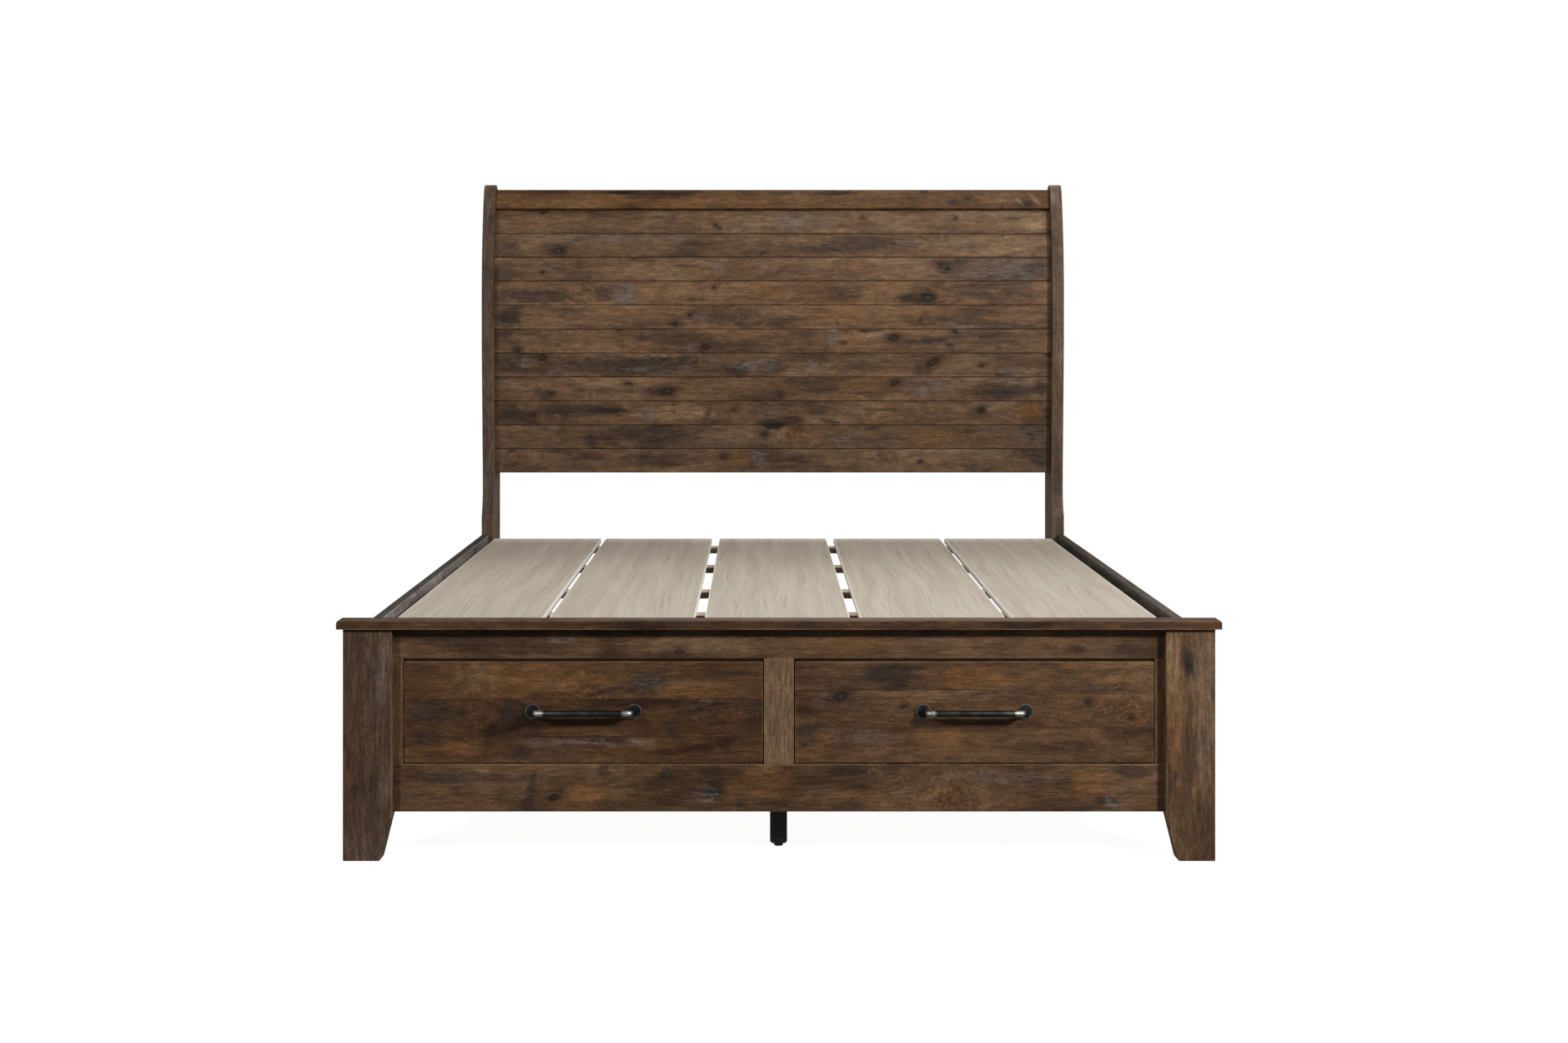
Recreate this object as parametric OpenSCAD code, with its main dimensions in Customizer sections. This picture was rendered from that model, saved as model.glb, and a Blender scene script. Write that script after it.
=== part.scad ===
// Storage platform bed with a curved plank headboard and two drawers in the footboard.
// Millimetres, +Z up. The foot end faces -Y and the headboard stands at +Y.
// Every piece is a board, plate or turned part of its own, placed from the values below.

/* [Overall] */
// Width over the outer faces of the posts and side rails
bed_w = 1640; // [1300:10:2000]
// Length of the side rails, from footboard post to headboard post
rail_len = 2092; // [1700:2:2520]
// Height of the top face of the mattress platform
deck_z = 401; // [340:1:480]

/* [Headboard] */
// Thickness of each headboard post
hb_post_t = 32; // [24:1:45]
// Depth of each headboard post board, front edge to back edge
hb_post_d = 150; // [120:1:180]
// Height at which the upright middle of the headboard curve starts
hb_mid_z = 1000; // [960:5:1150]
// Length of the upright middle of the headboard curve
hb_mid_len = 95; // [60:5:140]
// Radius of the front edge where the headboard rolls back at the top
hb_top_r = 840; // [700:10:1000]
// Radius of the front edge where it starts to lean back lower down
hb_low_r = 1500; // [1200:20:1900]
// Lean of the straight lower part of the headboard
hb_low_a = 3.8; // [2.5:0.1:5]
// Radius of the front corner at the top of each post
hb_front_round = 40; // [20:1:48]
// Radius of the back corner at the top of each post
hb_back_round = 22; // [10:1:40]
// Drop from the lowest plank to the lip under which the front edge of a post is straight
hb_lip_drop = 110; // [85:1:130]
// Depth of the planks' faces behind the front edges of the posts
plank_inset = 28; // [20:1:40]
// Face width of one plank, joint included
plank_w = 68; // [56:0.5:82]
// Thickness of a plank
plank_t = 16; // [14:1:20]
// Bevel along the long edges of a plank
plank_bevel = 1.6; // [0.5:0.1:3]
// Width of the top rail, measured along the curve
hb_rail_w = 56.5; // [45:0.5:68]
// Height of each post above the top rail, measured along the curve
hb_post_above = 21.5; // [6:0.5:40]
// Gap between the highest plank and the top rail, closed by a tongue
hb_rail_gap = 3; // [1:0.5:5]
// Distance that the top rail stands proud of the planks
hb_rail_proud = 12; // [4:1:18]
// Depth of a rib behind the planks
rib_d = 30; // [20:1:50]
// Thickness of a rib
rib_t = 30; // [20:1:40]
// Thickness of the stretcher between the headboard posts
stretcher_t = 22; // [18:1:30]
// Height of the stretcher, top to bottom
stretcher_h = 90; // [60:5:100]
// Height of the stretcher's underside above the floor
stretcher_z = 95; // [60:5:110]

/* [Footboard] */
// Width of a footboard post
fb_post_w = 92; // [80:1:120]
// Thickness of a footboard post, front to back
fb_post_t = 38; // [36:1:50]
// Distance of the rails and drawers behind the front faces of the posts
fb_recess = 18; // [10:1:20]
// Height of the underside of the cap above the platform
cap_above_deck = 35; // [25:1:60]
// Thickness of the cap
cap_t = 17; // [14:1:25]
// Overhang of the cap at the sides
cap_side = 11; // [5:1:20]
// Overhang of the cap at the front
cap_front = 9; // [5:1:15]
// Radius of the rounded upper edges of the cap
cap_r = 6; // [2:0.5:7]
// Height of the top rail
top_rail_h = 58; // [45:1:70]
// Height of the drawer opening
opening_h = 199; // [165:1:215]
// Height of the bottom rail
bottom_rail_h = 90; // [60:1:105]
// Width of an end stile
end_stile_w = 18.5; // [16:0.5:40]
// Width of the centre stile
centre_stile_w = 56; // [48:1:80]
// Taper of the inner edge of a footboard post towards the floor
foot_taper = 20; // [8:0.5:26]
// Chamfer of the inner corner of a footboard post at the floor
foot_chamfer = 4; // [2:0.5:10]

/* [Rails, slats and platform] */
// Thickness of a side rail
rail_t = 19; // [17:1:25]
// Height of a side rail
rail_h = 229; // [190:1:240]
// Height of the side rail's top edge above the platform
rail_above_deck = 13; // [4:1:18]
// Width of a cleat
cleat_w = 25; // [20:1:40]
// Height of a cleat
cleat_h = 30; // [20:1:32]
// Width of a slat
slat_w = 60; // [50:1:75]
// Thickness of a slat
slat_t = 15; // [12:1:19]
// Distance of the last slat's front edge from the headboard posts
last_slat = 120; // [70:5:200]
// Thickness of a platform panel
panel_t = 12; // [9:1:20]
// Gap on each side of the middle panel
wide_gap = 21; // [10:1:30]
// Gap beside each outer panel
narrow_gap = 13; // [4:1:18]
// Distance that the panels run past the front edges of the headboard posts
deck_past_post = 33; // [10:1:50]
// Width and depth of a support leg
leg_w = 33; // [28:1:45]
// Distance of the drawer case's leg behind the front faces of the footboard posts
leg_back = 116; // [80:1:250]
// Diameter of the glide under a support leg
glide_d = 18; // [14:1:26]
// Height of the glide under a support leg
glide_h = 6; // [4:0.5:10]

/* [Drawers] */
// Gap above a drawer front
gap_top = 6; // [3:0.5:8]
// Gap under a drawer front
gap_bottom = 2.5; // [2:0.5:5]
// Gap at each end of a drawer front
gap_side = 2; // [1.5:0.5:4]
// Thickness of a drawer side and back
box_t = 12; // [10:1:15]
// Room above a drawer side, under the drawer case's top edge
box_head = 28; // [10:1:50]
// Length of a drawer side, front to back
box_len = 400; // [300:5:480]
// Thickness of a drawer bottom
box_bottom_t = 6; // [4:1:9]
// Thickness of the boards of the drawer case
case_t = 18; // [15:1:20]
// Thickness of a three-member drawer slide
slide_t = 12.7; // [11:0.1:16]
// Height of a drawer slide
slide_h = 45; // [36:1:54]
// Distance between the centres of a handle's two roses
handle_span = 192; // [128:2:256]
// Diameter of the handle's bar
handle_d = 12; // [9:0.5:14]
// Distance that the handle stands out from the drawer front
handle_out = 35; // [28:1:40]
// Diameter of a handle rose
rose_d = 28; // [22:1:34]

/* [Hidden] */
$fn = 48;
fit = 0.3;        // clearance of a piece that is let into another or ends against it
ease = 2;         // clearance of a board that lies loose beside another
joint = 0.4;      // open joint between two planks
over = 1;         // distance that a cut runs past a face
fb_t = fb_post_t - fb_recess;          // thickness of the footboard's rails and stiles
front_t = fb_t - 1;                    // thickness of a drawer front

// Heights
panel_z = deck_z - panel_t;            // underside of the platform, top of the slats
slat_z = panel_z - slat_t;             // underside of the slats, top of the cleats
rail_z = deck_z + rail_above_deck - rail_h;
cap_z = deck_z + cap_above_deck;
top_rail_z = cap_z - top_rail_h;
open_z = top_rail_z - opening_h;
bottom_rail_z = open_z - bottom_rail_h;

// Distances from the middle of the bed
half_w = bed_w / 2;
hb_in = half_w - hb_post_t;            // inner face of a headboard post
fb_in = half_w - fb_post_w;            // inner face of a footboard post
rail_in = half_w - rail_t;             // inner face of a side rail
case_in = fb_in - end_stile_w;         // inner edge of an end stile
mid_in = centre_stile_w / 2;           // edge of the centre stile

// The headboard curve in the plane of a post, as distance back and height. s runs up the faces of
// the planks from the start of the upright middle, and e is the depth behind the post's front edge.
plank_r = hb_top_r - plank_inset;
low_r = hb_low_r - plank_inset;
low_arc = low_r * hb_low_a * PI / 180;
function lean(s) = s > hb_mid_len ? (s - hb_mid_len) / plank_r * 180 / PI
                 : s < 0 ? -min(-s, low_arc) / low_r * 180 / PI : 0;
function face(s) = let (a = lean(s), d = max(0, -s - low_arc))
    s > hb_mid_len ? [hb_top_r - plank_r * cos(a), hb_mid_z + hb_mid_len + plank_r * sin(a)]
  : s < 0 ? [hb_low_r - low_r * cos(a) - d * sin(a), hb_mid_z + low_r * sin(a) - d * cos(a)]
  : [plank_inset, hb_mid_z + s];
function at(e, s) = face(s) + (e - plank_inset) * [cos(lean(s)), -sin(lean(s))];
function run(e, s0, s1, n) = [for (i = [0:n]) at(e, s0 + (s1 - s0) * i / n)];

planks = 11;
facets = 4;                                          // flats across the curved back of a plank
panel_s0 = -415;                                     // lower edge of the lowest plank
panel_s1 = panel_s0 + planks * plank_w;              // upper edge of the highest plank
hb_rail_s0 = panel_s1 + hb_rail_gap;
hb_rail_s1 = hb_rail_s0 + hb_rail_w;
hb_rail_e = plank_inset - hb_rail_proud;
post_s1 = hb_rail_s1 + hb_post_above;
rib_e = plank_inset + plank_t;
rib_at = [-1, -1 / 3, 1 / 3, 1];                     // places of the ribs across the panel
tongue_e = plank_inset + 6;
tongue_t = 4;
tongue_d = 5;
// The corners of the groove for a tongue, in the edge of a board that starts at s0
function tongue_groove(s0) = let (t0 = tongue_e - fit, t1 = tongue_e + tongue_t + fit,
    s1 = s0 + tongue_d + fit) [at(t1, s0), at(t1, s1), at(t0, s1), at(t0, s0)];

// Front edge of a headboard post under the curve: a cove that ends on a rounded lip
cove_h = 66;
lip_y = 5.6;
lip_z = at(0, panel_s0)[1] - hb_lip_drop;
lip_h = 12;
cove_y = at(0, panel_s0)[0];
back_y = cove_y + hb_post_d;
function cove(u) = [cove_y - (cove_y - lip_y) * u * u, lip_z + cove_h * (1 - u)];
function lip(a) = [lip_y * (1 - cos(a)), lip_z - lip_h * (1 - sin(a))];

// Lengthwise places, with the origin in the middle of the whole length
front_out = max(cap_front, handle_out - fb_recess);
back_top = at(hb_post_d - hb_back_round, post_s1 - hb_back_round)[0] + hb_back_round;
total_y = front_out + fb_post_t + rail_len + max(back_y, back_top);
foot_y = front_out - total_y / 2;                    // front faces of the footboard posts
frame_y = foot_y + fb_recess;                        // front faces of rails, stiles and drawers
inner_y = foot_y + fb_post_t;                        // back faces of the footboard posts
head_y = inner_y + rail_len;                         // front edges of the headboard posts
stretcher_y = head_y + 60;
tenon = 12;                                          // depth of the stretcher in each post

// Slats from foot to head, as shares of the way from the first one to the last one
slat_share = [0, 0.214, 0.441, 0.731, 1];
slat_y0 = inner_y + 132;
slat_y1 = head_y - last_slat;
function slat_y(i) = slat_y0 + (slat_y1 - slat_y0) * slat_share[i];
deck_w = 2 * (hb_in - ease);
panel_w = (deck_w - 2 * wide_gap - 2 * narrow_gap) / 5;
gaps = [0, narrow_gap, narrow_gap + wide_gap, narrow_gap + 2 * wide_gap,
        2 * narrow_gap + 2 * wide_gap];              // gaps to the left of each panel
panel_y = inner_y + 6;

// Drawers and their case
front_z = open_z + gap_bottom;
front_h = opening_h - gap_bottom - gap_top;
front_x = mid_in + gap_side;
front_w = case_in - mid_in - 2 * gap_side;
box_x = mid_in + slide_t;
box_w = case_in - mid_in - 2 * slide_t;
box_y = frame_y + front_t;
box_z = open_z + 16;
bottom_z = box_z + 8;
groove_d = 5;
case_z = open_z - 1;                                 // top of the case's bottom board
case_top = panel_z - cleat_h;
case_len = box_len + 24;
box_h = case_top - box_head - box_z;
slide_z = box_z + box_h / 2;
slide_y = inner_y + 4;
slide_len = box_len - 10;
sheet = 1.2;                                         // sheet metal of the drawer slides

// Handles
handle_x = front_x + front_w / 2;
handle_z = front_z + front_h * 0.51;
handle_splay = 18;                                   // angle of each leg, out towards its rose
bend_r = 9;
rose_t = 4;
bar_y = frame_y - handle_out + handle_d / 2;

// Hook plates that join the side rails to the posts, and their screws
hook_t = 3;
hook_len = 50;
hook_x = rail_in - hook_t;
hook_z = rail_z + 16;
hook_h = slat_z - cleat_h - 27 - hook_z;
tab_gap = 14;                                        // from each end of the plate to a tab
tab_h = min(24, (hook_h - 3 * tab_gap) / 2);
tab_d = 14;
tab_at = [tab_gap, hook_h - tab_gap - tab_h];
screw_at = [8, hook_h / 2, hook_h - 8];
screw_d = 9;
screw_h = 2.4;

PLANKS = [for (i = [1:planks]) str("headboard_plank_", i < 10 ? "0" : "", i)];
SLATS = [for (i = [1:5]) str("slat_", i)];
PANELS = [for (i = [1:5]) str("platform_panel_", i)];

wood = [0.36, 0.25, 0.17];
wood_light = [0.42, 0.33, 0.25];
deck = [0.66, 0.59, 0.52];
pale = [0.55, 0.49, 0.40];
steel = [0.60, 0.61, 0.62];
black = [0.10, 0.10, 0.11];

// Extrudes an outline drawn in Y and Z along X, over the width w from x0
module along_x(x0, w) {
    translate([x0, 0, 0]) rotate([90, 0, 90]) linear_extrude(w) children();
}
// Extrudes an outline drawn in X and Z along Y, over the depth d from y0
module along_y(y0, d) {
    translate([0, y0 + d, 0]) rotate([90, 0, 0]) linear_extrude(d) children();
}
// A board given by its lowest corner and its size
module board(x, y, z, w, d, h) {
    translate([x, y, z]) cube([w, d, h]);
}
// A piece drawn on the right (+X), on the side that s names: 1 for right and -1 for left
module on_side(s) {
    mirror([s < 0 ? 1 : 0, 0, 0]) children();
}
// A rectangle from (x, z), w wide and h high, with its two upper corners rounded
module top_rounded(x, z, w, h, r) {
    polygon(concat([[x, z], [x + w, z]],
        [for (a = [0:15:90]) [x + w - r * (1 - cos(a)), z + h - r * (1 - sin(a))]],
        [for (a = [90:15:180]) [x + r * (1 + cos(a)), z + h - r * (1 - sin(a))]]));
}

module headboard_post(s) {
    r1 = hb_front_round;
    r2 = hb_back_round;
    outline = concat(
        [[back_y, 0], [0, 0]], [for (a = [0:15:90]) lip(a)], [for (i = [9:-1:0]) cove(i / 10)],
        run(0, panel_s0, 0, 10), run(0, hb_mid_len, post_s1 - r1, 16),
        [for (a = [10:10:90]) at(r1 * (1 - cos(a)), post_s1 - r1 * (1 - sin(a)))],
        [for (a = [0:15:90]) at(hb_post_d - r2 * (1 - sin(a)), post_s1 - r2 * (1 - cos(a)))],
        run(hb_post_d, post_s1 - r2 - 4, hb_mid_len, 16), run(hb_post_d, 0, panel_s0, 10));
    color(wood) difference() {
        on_side(s) along_x(hb_in, hb_post_t) translate([head_y, 0]) polygon(outline);
        on_side(s) tab_slots(head_y, 1);
        on_side(s) board(hb_in - over, stretcher_y - fit, stretcher_z - fit, tenon + over,
            stretcher_t + 2 * fit, stretcher_h + 2 * fit);
    }
}
// Slots in a post's end-on face at y, cut towards +Y (d = 1) or -Y (d = -1)
module tab_slots(y, d) {
    depth = tab_d + 2 * over;
    for (z = tab_at)
        board(hook_x - fit, d > 0 ? y - over : y + over - depth, hook_z + z - fit,
            hook_t + 2 * fit, depth, tab_h + 2 * fit);
}
module headboard_top_rail() {
    color(wood) along_x(fit - hb_in, 2 * (hb_in - fit)) translate([head_y, 0])
        polygon(concat(run(hb_rail_e, hb_rail_s0, hb_rail_s1, facets),
            run(rib_e, hb_rail_s1, hb_rail_s0, facets), tongue_groove(hb_rail_s0)));
}
module headboard_plank(k) {
    s0 = panel_s0 + (k - 1) * plank_w + joint / 2;
    s1 = s0 + plank_w - joint;
    b = plank_bevel;
    e = plank_inset;
    t1 = tongue_e + tongue_t;
    tip = s1 + tongue_d + (k < planks ? 0 : hb_rail_gap);
    tongue = [at(tongue_e, s1), at(tongue_e, tip), at(t1, tip), at(t1, s1)];
    color(wood) along_x(fit - hb_in, 2 * (hb_in - fit)) translate([head_y, 0])
        polygon(concat(run(e, s0 + b, s1 - b, 4), [at(e + b, s1)], tongue,
            run(rib_e, s1, s0, facets), k > 1 ? tongue_groove(s0) : [], [at(e + b, s0)]));
}
module headboard_ribs() {
    reach = hb_in - fit - rib_t / 2;
    top = hb_rail_s0 + hb_rail_w * (facets - 1) / facets;
    color(pale) for (f = rib_at) along_x(f * reach - rib_t / 2, rib_t) translate([head_y, 0])
        polygon(concat(run(rib_e, panel_s0, panel_s1, facets * planks),
            run(rib_e, hb_rail_s0, top, facets - 1), run(rib_e + rib_d, top, panel_s0, 24)));
}
module headboard_stretcher() {
    reach = hb_in + tenon - fit;
    color(wood) board(-reach, stretcher_y, stretcher_z, 2 * reach, stretcher_t, stretcher_h);
}

module side_rail(s) {
    color(wood) on_side(s) board(rail_in, inner_y, rail_z, rail_t, rail_len, rail_h);
}
module cleats() {
    color(pale) {
        for (s = [-1, 1]) on_side(s)
            board(rail_in - cleat_w, inner_y + ease, slat_z - cleat_h, cleat_w,
                rail_len - 2 * ease, cleat_h);
        board(fit - fb_in, inner_y, panel_z - cleat_h, 2 * (fb_in - fit), cleat_w, cleat_h);
    }
}
module hook_plates() {
    tab_l = tab_d + 5;
    color(steel) for (s = [-1, 1]) on_side(s) {
        board(hook_x, inner_y, hook_z, hook_t, hook_len, hook_h);
        board(hook_x, head_y - hook_len, hook_z, hook_t, hook_len, hook_h);
        for (z = tab_at) {
            board(hook_x, inner_y - tab_d, hook_z + z, hook_t, tab_l, tab_h);
            board(hook_x, head_y + tab_d - tab_l, hook_z + z, hook_t, tab_l, tab_h);
        }
    }
}
module hook_plate_screws() {
    color(steel)
        for (s = [-1, 1], y = [inner_y + hook_len / 2, head_y - hook_len / 2], z = screw_at)
            on_side(s) translate([hook_x - screw_h, y, hook_z + z]) rotate([0, 90, 0])
                cylinder(h = screw_h, d = screw_d);
}

module slat(i) {
    reach = rail_in - ease;
    color(pale) board(-reach, slat_y(i), slat_z, 2 * reach, slat_w, slat_t);
}
module platform_panel(i) {
    color(deck) board(-deck_w / 2 + i * panel_w + gaps[i], panel_y, panel_z, panel_w,
        head_y + deck_past_post - panel_y, panel_t);
}
// A square leg with rounded lower corners and a plate on top, centred on x = 0
module support_leg(y, top) {
    plate = 60;
    plate_t = 3;
    h = top - glide_h;
    r = 7;
    color(black) translate([0, y + leg_w / 2, 0]) {
        intersection() {
            translate([0, 0, top]) mirror([0, 0, 1]) along_y(-leg_w, 2 * leg_w)
                top_rounded(-leg_w / 2, 0, leg_w, h, r);
            translate([0, 0, top]) mirror([0, 0, 1]) along_x(-leg_w, 2 * leg_w)
                top_rounded(-leg_w / 2, 0, leg_w, h, r);
        }
        translate([-plate / 2, -plate / 2, top - plate_t]) cube([plate, plate, plate_t]);
    }
}
module slat_legs() {
    for (i = [1:4]) support_leg(slat_y(i) + (slat_w - leg_w) / 2, slat_z);
}
module leg_glides() {
    places = concat([foot_y + leg_back + leg_w / 2], [for (i = [1:4]) slat_y(i) + slat_w / 2]);
    color(black) for (y = places) translate([0, y, 0]) {
        cylinder(h = 1.5, r1 = glide_d / 2 - 1.5, r2 = glide_d / 2);
        translate([0, 0, 1.5]) cylinder(h = glide_h - 1.5, d = glide_d);
    }
}

module footboard_post(s) {
    taper_z = bottom_rail_z - 4;
    toe = fb_in + foot_taper;
    color(wood) difference() {
        on_side(s) along_y(foot_y, fb_post_t) polygon([[fb_in, cap_z], [fb_in, taper_z],
            [toe, foot_chamfer], [toe + foot_chamfer, 0], [half_w, 0], [half_w, cap_z]]);
        on_side(s) tab_slots(inner_y, -1);
    }
}
module footboard_cap() {
    w = bed_w + 2 * cap_side;
    d = cap_front + fb_post_t;
    color(wood) intersection() {
        along_x(-w / 2, w) top_rounded(foot_y - cap_front, cap_z, d, cap_t, cap_r / 2);
        along_y(foot_y - cap_front, d) top_rounded(-w / 2, cap_z, w, cap_t, cap_r);
    }
}
module footboard_top_rail() {
    color(wood) board(-fb_in, frame_y, top_rail_z, 2 * fb_in, fb_t, cap_z - top_rail_z);
}
module footboard_bottom_rail() {
    color(wood) board(-fb_in, frame_y, bottom_rail_z, 2 * fb_in, fb_t, bottom_rail_h);
}
module footboard_end_stile(s) {
    color(wood) on_side(s) board(case_in, frame_y, open_z, end_stile_w, fb_t, opening_h);
}
module footboard_stile_centre() {
    color(wood_light) board(-mid_in, frame_y, open_z, centre_stile_w, fb_t, opening_h);
}

module case_sides() {
    color(pale) for (s = [-1, 1]) on_side(s)
        board(case_in, inner_y, case_z, case_t, case_len, case_top - case_z);
}
module case_dividers() {
    color(pale) for (s = [-1, 1]) on_side(s) difference() {
        board(mid_in - case_t, inner_y, case_z, case_t, case_len, slat_z - case_z);
        board(mid_in - case_t - over, inner_y - over, case_top, case_t + 2 * over,
            cleat_w + fit + over, slat_z - case_top + over);
    }
}
module case_back() {
    color(pale) board(-case_in - case_t, inner_y + case_len, case_z, 2 * (case_in + case_t),
        case_t, case_top - case_z);
}
module case_bottom() {
    color(pale) board(-case_in - case_t, inner_y, case_z - case_t, 2 * (case_in + case_t),
        case_len + case_t, case_t);
}
module case_leg() {
    support_leg(foot_y + leg_back, case_z - case_t);
}

// A channel of a drawer slide: its web stands from u0 to u0 + sheet, and its flanges reach to u1
module channel(u0, u1, half) {
    w = u1 > u0 ? sheet : -sheet;
    polygon([[u0, -half], [u1, -half], [u1, sheet - half], [u0 + w, sheet - half],
        [u0 + w, half - sheet], [u1, half - sheet], [u1, half], [u0, half]]);
}
// The same channel on both sides of the drawer bay on side s
module slide_pair(s, u0, u1, half) {
    color(steel) on_side(s) along_y(slide_y, slide_len) {
        translate([mid_in, slide_z]) channel(u0, u1, half);
        translate([case_in, slide_z]) mirror([1, 0]) channel(u0, u1, half);
    }
}
module slide_outer_members() {
    for (s = [-1, 1]) slide_pair(s, 0, slide_t - 3.2, slide_h / 2);
}
module slide_middle(s) {
    slide_pair(s, 3.2, slide_t - 2.5, slide_h / 2 - 3);
}
module slide_inner(s) {
    slide_pair(s, slide_t, 5.6, slide_h / 2 - 6.5);
}

module drawer_front(s) {
    color(wood) on_side(s) board(front_x, frame_y, front_z, front_w, front_t, front_h);
}
// The two sides and the back of a drawer, with a groove for its bottom in each side
module drawer_box(s) {
    back_len = box_w - 2 * box_t - 2 * fit;
    color(pale) on_side(s) {
        difference() {
            union() {
                board(box_x, box_y, box_z, box_t, box_len, box_h);
                board(box_x + box_w - box_t, box_y, box_z, box_t, box_len, box_h);
            }
            board(box_x + box_t - groove_d - fit, box_y - over, bottom_z - fit,
                box_w - 2 * box_t + 2 * (groove_d + fit), box_len - box_t,
                box_bottom_t + 2 * fit);
        }
        board(box_x + box_t + fit, box_y + box_len - box_t, box_z, back_len, box_t, box_h);
    }
}
module drawer_bottom(s) {
    color(pale) on_side(s) board(box_x + box_t - groove_d, box_y + fit, bottom_z,
        box_w - 2 * box_t + 2 * groove_d, box_len - box_t - 2 * fit - over, box_bottom_t);
}
// A bar that bends back at both ends into two legs, each on a round rose. A thinner core runs
// through the places where the stretches meet and makes them one piece.
module drawer_handle(s) {
    turn = 90 - handle_splay;
    leg_y = frame_y - rose_t - bar_y - bend_r * (1 - cos(turn));
    leg_len = (leg_y + rose_t / 2) / cos(handle_splay);
    bar_half = handle_span / 2 - bend_r * sin(turn) - leg_y * tan(handle_splay);
    core_d = handle_d - 2;
    color(steel) on_side(s) translate([handle_x, 0, handle_z]) {
        translate([-bar_half, bar_y, 0]) rotate([0, 90, 0]) {
            cylinder(h = 2 * bar_half, d = handle_d);
            translate([0, 0, -over]) cylinder(h = 2 * (bar_half + over), d = core_d);
        }
        for (m = [0, 1]) mirror([m, 0, 0]) {
            translate([bar_half, bar_y + bend_r, 0]) {
                rotate([0, 0, -90]) rotate_extrude(angle = turn)
                    translate([bend_r, 0]) circle(d = handle_d);
                rotate([0, 0, turn - 90]) translate([bend_r, 0, 0]) rotate([-90, 0, 0]) {
                    cylinder(h = leg_len, d = handle_d);
                    translate([0, 0, -over]) cylinder(h = leg_len, d = core_d);
                }
            }
            translate([handle_span / 2, frame_y, 0]) rotate([90, 0, 0])
                cylinder(h = rose_t, d = rose_d);
        }
    }
}

headboard_post(-1);  // headboard_post_left
headboard_post(1);  // headboard_post_right
headboard_top_rail();
for (k = [1:planks]) headboard_plank(k);
headboard_ribs();
headboard_stretcher();
side_rail(-1);  // side_rail_left
side_rail(1);  // side_rail_right
cleats();
hook_plates();
hook_plate_screws();
for (i = [0:4]) slat(i);
for (i = [0:4]) platform_panel(i);
footboard_post(-1);  // footboard_post_left
footboard_post(1);  // footboard_post_right
footboard_cap();
footboard_top_rail();
footboard_bottom_rail();
footboard_end_stile(-1);  // footboard_stile_left
footboard_stile_centre();
footboard_end_stile(1);  // footboard_stile_right
case_sides();
case_dividers();
case_back();
case_bottom();
case_leg();
slat_legs();
leg_glides();
slide_outer_members();
slide_middle(-1);  // slide_middle_left
slide_middle(1);  // slide_middle_right
drawer_front(-1);  // drawer_left_front
drawer_box(-1);  // drawer_left_box
drawer_bottom(-1);  // drawer_left_bottom
drawer_handle(-1);  // drawer_left_handle
slide_inner(-1);  // slide_inner_left
drawer_front(1);  // drawer_right_front
drawer_box(1);  // drawer_right_box
drawer_bottom(1);  // drawer_right_bottom
drawer_handle(1);  // drawer_right_handle
slide_inner(1);  // slide_inner_right
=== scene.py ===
# Looks for the storage platform bed: stained boards, panels, metal and the studio around them.
import math

import bpy
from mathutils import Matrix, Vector


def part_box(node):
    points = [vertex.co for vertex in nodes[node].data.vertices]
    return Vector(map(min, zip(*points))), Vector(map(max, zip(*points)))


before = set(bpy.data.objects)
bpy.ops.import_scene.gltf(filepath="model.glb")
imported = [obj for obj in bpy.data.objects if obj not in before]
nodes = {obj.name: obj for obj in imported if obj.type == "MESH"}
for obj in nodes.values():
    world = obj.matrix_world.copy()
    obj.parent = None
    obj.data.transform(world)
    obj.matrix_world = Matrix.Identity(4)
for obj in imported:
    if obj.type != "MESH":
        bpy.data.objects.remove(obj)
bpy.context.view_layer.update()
scene = bpy.context.scene

# ---------------------------------------------------------------- camera and studio
POST_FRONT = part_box("footboard_post_left")[0].y
CAMERA_BACK = 4.27           # from the camera to the front faces of the footboard posts
CAMERA_HEIGHT = 1.011
CAMERA_SIDE = -0.0352
LENS = 52.18                 # mm
SENSOR = 36.0                # mm
SHIFT = (0.0151, -0.1266)    # the photograph's own: its verticals are parallel
WHITE = (1.0, 1.0, 1.0, 1.0)
FLOOR_RADIUS = 9
FLOOR_DROP = 0.0005          # keeps the floor just clear of the feet
BACKDROP_RADIUS = 12
NEAR, FAR = 1.5, 5.0         # the floor's glow grows between these distances from the middle
WORLD_STRENGTH = 0.20
# Round lamps: (name, place, aimed at, watts, diameter)
LIGHTS = [
    ("key_right", (2.7, -3.6, 2.1), (0.1, -0.4, 0.5), 190, 0.45),
    ("key_left", (-2.8, -3.7, 2.1), (-0.1, -0.4, 0.5), 98, 0.45),
    ("top", (0.9, -0.3, 3.4), (0.1, 0.2, 0.4), 44, 2.2),
    ("back", (0.3, 2.6, 3.3), (0.0, 1.2, 0.8), 52, 1.4),
]


def make_camera():
    data = bpy.data.cameras.new("camera")
    data.lens = LENS
    data.sensor_width = SENSOR
    data.shift_x, data.shift_y = SHIFT
    camera = bpy.data.objects.new("camera", data)
    camera.location = (CAMERA_SIDE, POST_FRONT - CAMERA_BACK, CAMERA_HEIGHT)
    camera.rotation_euler = (math.radians(90), 0, 0)
    scene.collection.objects.link(camera)
    scene.camera = camera


def area_light(name, place, target, power, size):
    data = bpy.data.lights.new(name, "AREA")
    data.energy = power
    data.shape = "DISK"
    data.size = size
    light = bpy.data.objects.new(name, data)
    light.location = place
    light.rotation_euler = (Vector(target) - Vector(place)).to_track_quat("-Z", "Y").to_euler()
    light.visible_camera = False
    scene.collection.objects.link(light)


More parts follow.
